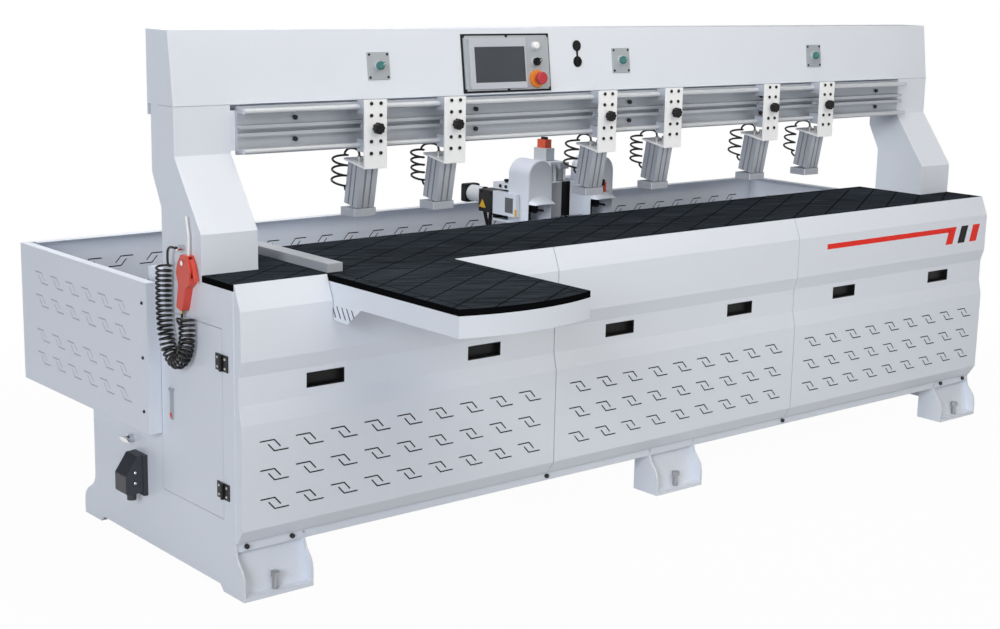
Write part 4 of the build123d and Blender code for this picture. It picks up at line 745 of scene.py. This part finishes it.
def gun_hose():
    """The blow gun's hose: a lead from its gland, the hanging coil and a tail up into the gun."""
    coil = coil_points(gun_route(HOSE_AXIS), HOSE_COIL_R, HOSE_PITCH, *HOSE_TURN)
    first, last = coil[0], coil[-1]
    entry = (coil[1] - first).normalized()
    leave = (last - coil[-2]).normalized()
    lead = gun_route(HOSE_LEAD) + [first - entry * HOSE_ENTRY]
    tail = [
        last + leave * HOSE_LEAVE,
        Vector((-1.741, FRONT + 0.2310, 0.7480)),
        Vector((-1.730, FRONT + 0.2385, 0.7330)),
        Vector((-1.720, FRONT + 0.2459, 0.7309)),
        Vector((-1.716, FRONT + 0.2545, 0.7392)),
        Vector((GUN_X, FRONT + 0.2578, 0.7507)),
        Vector((GUN_X, FRONT + 0.2549, 0.7624)),
    ]
    points = lead + coil + tail
    made = tube("gun_hose_coil", points, HOSE_R, RUBBER, "machine")
    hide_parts("gun_hose")
    route_length(points)


CLAMP_HOSE_R = 0.0034
CLAMP_HOSE_TURN = (0.25, 0.0)
CLAMP_COIL_X = -0.036     # lower end of the coil from the clamp's middle
CLAMP_COIL_Y = 0.341      # its upper end from the table's front edge
CLAMP_COILS = {           # radius and pitch of the loops, and how far the upper end leans to the left
    1: (0.0230, 0.036, 0.004),
    2: (0.0205, 0.026, 0.014),
    3: (0.0225, 0.034, 0.002),
    4: (0.0200, 0.027, 0.014),
    5: (0.0220, 0.035, 0.004),
    6: (0.0205, 0.030, 0.010),
}


def clamp_hose(number, x):
    """A curly air hose from a clamp's top port down to the port behind its cylinder."""
    radius, pitch, lean = CLAMP_COILS[number]

    def at(dx, y, z):
        return Vector((x + dx, FRONT + y, z))

    lead = [
        at(-0.016, 0.2755, 1.163),
        at(-0.017, 0.275, 1.178),
        at(-0.026, 0.285, 1.1865),
        at(-0.034 - lean, 0.304, 1.185),
        at(CLAMP_COIL_X - lean, CLAMP_COIL_Y - radius, 1.172),
    ]
    axis = [
        at(CLAMP_COIL_X - lean, CLAMP_COIL_Y, 1.168),
        at(CLAMP_COIL_X - lean * 0.7, 0.345, 1.138),
        at(CLAMP_COIL_X - lean * 0.3, 0.350, 1.102),
        at(CLAMP_COIL_X, 0.355, 1.066),
    ]
    coil = coil_points(axis, radius, -pitch, *CLAMP_HOSE_TURN)
    tail = [
        coil[-1] + Vector((0.0, 0.003, -0.008)),
        at(-0.012, 0.345, 1.046),
        at(0.0, 0.336, 1.044),
        at(0.003, 0.327, 1.046),
    ]
    points = lead + coil + tail
    made = tube(f"clamp_hose_{number}", points, CLAMP_HOSE_R, RUBBER, f"clamp_{number}")
    route_length(points)


gun_hose()
for number, x in enumerate(CLAMPS, start=1):
    clamp_hose(number, x)


# Fittings of the clamps
BRACKET_SCREW_X = 0.017   # half the distance between two screws in a row
BRACKET_SCREW_Z = (1.323, 1.288, 1.212, 1.177)
for number, x in enumerate(CLAMPS, start=1):
    places = [Vector((x + dx, BRACKET_FACE, z)) for z in BRACKET_SCREW_Z for dx in both(BRACKET_SCREW_X)]
    screw_heads(f"bracket_screws_{number}", places, FRONTWARD, radius=0.0055, surface=BLACK_METAL,
                body=f"clamp_{number}")

# Fittings of the beam
SWITCHES = (-1.004, 0.0, 1.004)
PANEL_MIDDLE = 0.098      # height of the switches and the panel up the beam's face
PANEL_X = -0.503
SWITCH_PLATE = 0.003      # thickness of a plate, and half the distances between its screws
SWITCH_SCREWS = (0.033, 0.034)
HMI_PLATE = 0.007
HMI_SCREWS = (0.165, 0.077)
SELECTOR_UP = 0.099
SELECTOR_TOP = 0.0322     # where a pointer lies, out of the beam's face
SWITCH_TOP = 0.0282
USB_UP = (0.097, 0.149)
USB_COLLAR = [(0.0180, 0.0), (0.0180, 0.0022), (0.0168, 0.0034), (0.0120, 0.0034)]
POINTER_AXES = PANEL_AXES @ Matrix.Rotation(math.radians(45.0), 4, "Z")
POINTER_SIZE = (0.009, 0.0022, 0.0006)
POINTER_SHIFT = POINTER_AXES.to_3x3() @ Vector((0.006, 0, 0))
SEAM_Z = PANEL_FOOT.z - 0.0005
SEAM_X = 1.577            # middle of the front seams
SEAM_Y = PANEL_FOOT.y + 0.043    # and of the end seams

plate_screws = [on_panel(x + dx, PANEL_MIDDLE + up, SWITCH_PLATE)
                for x in SWITCHES for dx in both(SWITCH_SCREWS[0]) for up in both(SWITCH_SCREWS[1])]
screw_heads("switch_plate_screws", plate_screws, PANEL_OUT, radius=0.0038, surface=BLACK_METAL,
            body="machine")
hmi_screws = [on_panel(PANEL_X + dx, PANEL_MIDDLE + up, HMI_PLATE)
              for dx in both(HMI_SCREWS[0]) for up in both(HMI_SCREWS[1])]
screw_heads("hmi_screws", hmi_screws, PANEL_OUT, radius=0.0035, surface=ZINC, body="machine")
usb_collars = turned([on_panel(USB_X, up) for up in USB_UP], PANEL_OUT, USB_COLLAR, sides=32)
piece("usb_collars", usb_collars, BLACK, "machine")


def pointer(name, place, body):
    """A white mark on a turning switch, off its middle."""
    piece(name, slabs([place + POINTER_SHIFT], POINTER_AXES, POINTER_SIZE), WHITE, body)


pointer("selector_pointer", on_panel(BUTTON_X, SELECTOR_UP, SELECTOR_TOP), "selector")
for number, x in enumerate(SWITCHES, start=1):
    pointer(f"switch_pointer_{number}", on_panel(x, PANEL_MIDDLE, SWITCH_TOP), f"switch_{number}")

# Fittings of the left end
HINGE_Z = (0.295, 0.657)
HINGE_Y = FRONT + 0.0615
HINGE_FACE = -END - 0.003
HINGE_SCREW_Y = 0.020     # screws from the middle of a hinge
HINGE_SCREW_Z = 0.013
PIN_X = -END - 0.040      # pins in the connector's front
PIN_Y = FRONT + 0.506
PIN_Z = (0.210, 0.242)
PIN_PROFILE = [(0.0045, 0.0), (0.0045, 0.003), (0.0032, 0.0045)]
GUARD_FACE = 1.743
GUARD_SCREW_Y = FRONT + 0.432
GUARD_SCREW_Z = (0.764, 0.604, 0.445)
for name, y, body in (("hinge_screws_frame", HINGE_Y - HINGE_SCREW_Y, "machine"),
                      ("hinge_screws_door", HINGE_Y + HINGE_SCREW_Y, "door")):
    places = [Vector((HINGE_FACE, y, z + dz)) for z in HINGE_Z for dz in both(HINGE_SCREW_Z)]
    screw_heads(name, places, LEFTWARD, radius=0.0040, surface=ZINC, body=body)
connector_pins = [Vector((PIN_X, PIN_Y, z)) for z in PIN_Z]
piece("connector_pins", turned(connector_pins, FRONTWARD, PIN_PROFILE), CHROME, "machine")
guard_screws = [Vector((-GUARD_FACE, GUARD_SCREW_Y, z)) for z in GUARD_SCREW_Z]
screw_heads("guard_screws", guard_screws, LEFTWARD, radius=0.0050, surface=BLACK_METAL, body="machine")

# Fittings of the drilling unit
DRIVE_X = -0.255          # left face of the feed drive
DRIVE_STEP = 0.0015       # how far its block's face stands back from its case's face
DRIVE_BOLT_Y = FRONT + 0.714    # middle of its four bolts, and half the distance between them
DRIVE_BOLT_Z = 0.918
DRIVE_BOLT_HALF = 0.030
LABEL_X = DRIVE_X - 0.0004
SIGN_X = DRIVE_X + 0.0012
COVER_X = -0.241          # left side of the cover behind the hood
COVER_SCREW_Y = (FRONT + 0.620, FRONT + 0.650)
COVER_SCREW_Z = 0.977
COVER_KNOB = Vector((-0.221, FRONT + 0.642, 0.988))
CONDUIT_X = -0.240
CONDUIT_R = 0.0065
CONDUITS = ((0.735, -0.012), (0.702, 0.010))    # place, and drift towards the lower end
KNOB_PROFILE = [(0.0050, 0.0), (0.0050, 0.003), (0.0085, 0.004), (0.0085, 0.010), (0.0070, 0.012)]

drive_bolts = [Vector((DRIVE_X + DRIVE_STEP, DRIVE_BOLT_Y + dy, DRIVE_BOLT_Z + dz))
               for dy in both(DRIVE_BOLT_HALF) for dz in both(DRIVE_BOLT_HALF)]
screw_heads("drive_bolts", drive_bolts, LEFTWARD, radius=0.0055, surface=DARK, body="carrier")
cover_screws = [Vector((COVER_X, y, COVER_SCREW_Z)) for y in COVER_SCREW_Y]
screw_heads("motor_cover_screws", cover_screws, LEFTWARD, radius=0.0060, surface=BLACK_METAL,
            body="carrier")
cover_knob = turned([COVER_KNOB], UPWARD, KNOB_PROFILE)
piece("motor_cover_knob", cover_knob, BLACK, "carrier")
rating_plate = slabs([Vector((LABEL_X, FRONT + 0.586, 0.916))], UPRIGHT, (0.0008, 0.042, 0.052))
piece("drive_plate", rating_plate, DARK_GREY, "carrier")
for number, (y, drift) in enumerate(CONDUITS, start=1):
    route = [
        Vector((CONDUIT_X, FRONT + y, 0.878)),
        Vector((CONDUIT_X, FRONT + y + drift * 0.3, 0.858)),
        Vector((CONDUIT_X + 0.004, FRONT + y + drift, 0.834)),
        Vector((CONDUIT_X + 0.010, FRONT + y + drift * 1.2, 0.808)),
    ]
    tube(f"drive_conduit_{number}", route, CONDUIT_R, BLACK, "carrier")

# Grey lines of painted shade along the seams between the beam and the columns, and a block and a lever on the
# right hood
front_seam_shades = [Vector((x, PANEL_FOOT.y, SEAM_Z)) for x in both(SEAM_X)]
piece("beam_seams_front", slabs(front_seam_shades, UPRIGHT, (0.244, 0.0008, 0.0016)), GREY, "machine")
end_seam_shades = [Vector((x, SEAM_Y, SEAM_Z)) for x in both(END)]
piece("beam_seams_end", slabs(end_seam_shades, UPRIGHT, (0.0008, 0.082, 0.0016)), GREY, "machine")
hood_block = slabs([Vector((0.093, FRONT + 0.494, 0.984))], UPRIGHT, (0.030, 0.012, 0.021))
piece("hood_block", hood_block, BLACK, "carrier")
hood_lever = slabs([Vector((0.1085, FRONT + 0.4905, 0.968))], UPRIGHT, (0.008, 0.008, 0.034))
piece("hood_lever", hood_lever, RED, "carrier")


# Flat signs, stripes and screens
def flat_shapes(name, outlines, surface, body):
    """Flat painted shapes, each given by its corners."""
    mesh = bpy.data.meshes.new(name)
    corners = []
    faces = []
    for outline in outlines:
        faces.append(list(range(len(corners), len(corners) + len(outline))))
        corners += outline
    mesh.from_pydata(corners, [], faces)
    piece(name, mesh, surface, body)


def decal(name, outlines, y, surface, body):
    """Flat shapes in an upright plane along the machine: outlines as (x, z) corners."""
    flat_shapes(name, [[(x, y, z) for x, z in outline] for outline in outlines], surface, body)


def side_decal(name, outlines, x, surface, body):
    """Flat shapes in an upright plane across the machine: outlines as (y, z) corners."""
    flat_shapes(name, [[(x, y, z) for y, z in outline] for outline in outlines], surface, body)


def rectangle(left, right, low, high):
    return [(left, low), (right, low), (right, high), (left, high)]


SIGN_Y = FRONT + 0.733    # plain triangle on the drive's block
SIGN_HALF = 0.019
SIGN_Z = (0.892, 0.923)
LABEL_Y = FRONT + 0.549   # plain label at the case's front end
LABEL_HALF = 0.006
LABEL_Z = (0.880, 0.905)
sign = [(SIGN_Y - SIGN_HALF, SIGN_Z[0]), (SIGN_Y + SIGN_HALF, SIGN_Z[0]), (SIGN_Y, SIGN_Z[1])]
side_decal("drive_sign", [sign], SIGN_X, YELLOW_PAINT, "carrier")
label = rectangle(LABEL_Y - LABEL_HALF, LABEL_Y + LABEL_HALF, *LABEL_Z)
side_decal("drive_label", [label], LABEL_X, YELLOW_PAINT, "carrier")

STRIPE_Y = FRONT - 0.0293
STRIPE_LEFT = 0.722
STRIPE_Z = (0.760, 0.779)
BAR_LOW = 0.713
BAR_WIDTH = 0.045
BAR_SLANT = 0.020
BAR_TOPS = (1.500, 1.577, 1.654)    # upper right corner of each bar


def bar(right):
    return [(right - BAR_SLANT - BAR_WIDTH, BAR_LOW), (right - BAR_SLANT, BAR_LOW), (right, STRIPE_Z[1]),
            (right - BAR_WIDTH, STRIPE_Z[1])]


stripe = rectangle(STRIPE_LEFT, BAR_TOPS[0] - BAR_WIDTH, *STRIPE_Z)
decal("cover_stripe", [stripe, bar(BAR_TOPS[0]), bar(BAR_TOPS[2])], STRIPE_Y, RED_PAINT, "machine")
decal("cover_bar", [bar(BAR_TOPS[1])], STRIPE_Y, BLACK_PAINT, "machine")

# Screens inside the sheet, which show only through the vent marks and the gussets' slots: sheets of painted
# shade that stand in for the shaded inside behind them
COVER_MIDDLES = (-1.1326, 0.0, 1.1326)
COVER_SCREEN_HALF = 0.535
COVER_SCREEN_Z = (0.225, 0.465)
COVER_SCREEN_Y = FRONT - 0.028
BACK_SCREEN = rectangle(-1.62, 1.70, 0.625, 0.760)
BACK_SCREEN_Y = FRONT + 1.249
GUARD_SCREEN = rectangle(FRONT + 0.42, FRONT + 1.24, 0.415, 0.805)
GUARD_SCREEN_X = 1.742
GUSSET_SCREEN_LENGTH = (0.099, 0.161)    # along the lower and the upper edge
GUSSET_SCREEN = [
    (GUSSET_ROOT - GUSSET_EDGE, GUSSET_LOW + GUSSET_EDGE),
    (GUSSET_ROOT - GUSSET_EDGE, GUSSET_TOP),
    (GUSSET_ROOT - GUSSET_SCREEN_LENGTH[1], GUSSET_TOP),
    (GUSSET_ROOT - GUSSET_SCREEN_LENGTH[0], GUSSET_LOW + GUSSET_EDGE),
]
for name, x in zip(("left", "middle", "right"), COVER_MIDDLES):
    outline = rectangle(x - COVER_SCREEN_HALF, x + COVER_SCREEN_HALF, *COVER_SCREEN_Z)
    decal(f"vent_screen_{name}", [outline], COVER_SCREEN_Y, SHADE_SCREEN, "machine")
decal("vent_screen_back", [BACK_SCREEN], BACK_SCREEN_Y, SHADE_SCREEN, "machine")
# grey sheets of painted shade behind the guards' vent marks
for name, x in zip(("left", "right"), both(GUARD_SCREEN_X)):
    side_decal(f"vent_screen_guard_{name}", [GUARD_SCREEN], x, GREY, "machine")
# dark sheets of painted shade inside the gussets' slots
for name, x in zip(("left", "right"), GUSSET_X):
    side_decal(f"gusset_screen_{name}", [GUSSET_SCREEN], x, SHADE_SCREEN, "machine")

# Stage and light
FLOOR_REACH = 40.0
FLOOR_FADE = (1.8, 4.0)   # the floor turns from nearly white to white between these distances
FLOOR_GLOW = (0.97, 1.0)
SKY_COLOUR = (0.93, 0.96, 1.0, 1)
SKY_STRENGTH = 0.09
WARM = (1.0, 0.945, 0.84)
COOL = (0.92, 0.95, 1.0)
NEUTRAL = (1, 1, 1)


def floor_material():
    """White to the camera, with a faint shadow near the machine, and grey to the light."""
    made = bpy.data.materials.new("floor")
    made.use_nodes = True
    tree = made.node_tree
    shader = tree.nodes["Principled BSDF"]
    socket_set(shader, {"Base Color": (0.55, 0.55, 0.55, 1), "Roughness": 0.9, "Specular IOR Level": 0.0})
    glow = tree.nodes.new("ShaderNodeEmission")
    glow.inputs["Color"].default_value = (1, 1, 1, 1)
    ray = tree.nodes.new("ShaderNodeLightPath")
    seen = math_node(tree, "MAXIMUM", ray.outputs["Is Camera Ray"], ray.outputs["Is Glossy Ray"])
    seen = math_node(tree, "MAXIMUM", seen, ray.outputs["Is Transmission Ray"])
    place = tree.nodes.new("ShaderNodeTexCoord")
    distance = tree.nodes.new("ShaderNodeVectorMath")
    distance.operation = "LENGTH"
    tree.links.new(place.outputs["Object"], distance.inputs[0])
    fade = tree.nodes.new("ShaderNodeMapRange")
    fade.interpolation_type = "SMOOTHSTEP"
    socket_set(fade, {"From Min": FLOOR_FADE[0], "From Max": FLOOR_FADE[1],
                      "To Min": FLOOR_GLOW[0], "To Max": FLOOR_GLOW[1]})
    tree.links.new(distance.outputs["Value"], fade.inputs["Value"])
    mix = tree.nodes.new("ShaderNodeMixShader")
    tree.links.new(math_node(tree, "MULTIPLY", seen, fade.outputs["Result"]), mix.inputs["Fac"])
    tree.links.new(shader.outputs["BSDF"], mix.inputs[1])
    tree.links.new(glow.outputs["Emission"], mix.inputs[2])
    tree.links.new(mix.outputs["Shader"], tree.nodes["Material Output"].inputs["Surface"])
    return made


def stage_floor():
    mesh = bpy.data.meshes.new("floor")
    corners = [(x, y, 0) for x, y in rectangle(-FLOOR_REACH, FLOOR_REACH, -FLOOR_REACH, FLOOR_REACH)]
    mesh.from_pydata(corners, [], [(0, 1, 2, 3)])
    mesh.materials.append(floor_material())
    floor = bpy.data.objects.new("floor", mesh)
    scene.collection.objects.link(floor)


def sky():
    """A dim sky for light, which the camera sees as white."""
    world = bpy.data.worlds.new("studio")
    scene.world = world
    world.use_nodes = True
    tree = world.node_tree
    dim = tree.nodes["Background"]
    socket_set(dim, {"Color": SKY_COLOUR, "Strength": SKY_STRENGTH})
    white = tree.nodes.new("ShaderNodeBackground")
    socket_set(white, {"Color": (1, 1, 1, 1), "Strength": 1.0})
    ray = tree.nodes.new("ShaderNodeLightPath")
    choose = tree.nodes.new("ShaderNodeMixShader")
    tree.links.new(ray.outputs["Is Camera Ray"], choose.inputs["Fac"])
    tree.links.new(dim.outputs["Background"], choose.inputs[1])
    tree.links.new(white.outputs["Background"], choose.inputs[2])
    tree.links.new(choose.outputs["Shader"], tree.nodes["World Output"].inputs["Surface"])


def lamp(name, place, target, size, power, colour=NEUTRAL):
    """A soft rectangular lamp: size is its width and height."""
    data = bpy.data.lights.new(name, "AREA")
    data.shape = "RECTANGLE"
    data.size, data.size_y = size
    data.energy = power
    data.color = colour
    made = bpy.data.objects.new(name, data)
    made.location = place
    made.rotation_euler = (Vector(target) - Vector(place)).to_track_quat("-Z", "Y").to_euler()
    scene.collection.objects.link(made)


stage_floor()
sky()
lamp("key", (0.15, FRONT - 2.1, 2.7), (0.15, FRONT + 0.2, 1.3), size=(5.5, 1.0), power=34, colour=WARM)
lamp("side", (-22.0, -12.87, 9.0), (0.0, 0.13, 0.9), size=(9.0, 9.0), power=3050, colour=COOL)
lamp("top", (0.0, 1.13, 5.5), (0.0, 0.13, 0.8), size=(6.0, 3.0), power=82)
lamp("crown", (-0.5, FRONT - 1.2, 4.2), (-0.5, FRONT - 0.1, 0.5), size=(6.0, 1.5), power=64, colour=WARM)
lamp("fill", (-3.0, FRONT - 7.0, 1.6), (0.0, FRONT, 0.9), size=(7.0, 2.0), power=77)
lamp("back", (1.0, FRONT + 5.5, 3.0), (0.0, FRONT + 0.8, 0.7), size=(6.0, 3.0), power=25, colour=COOL)
lamp("kicker", (-1.6, FRONT + 1.2, 2.6), (-0.2, FRONT + 0.55, 0.95), size=(1.2, 0.8), power=26)
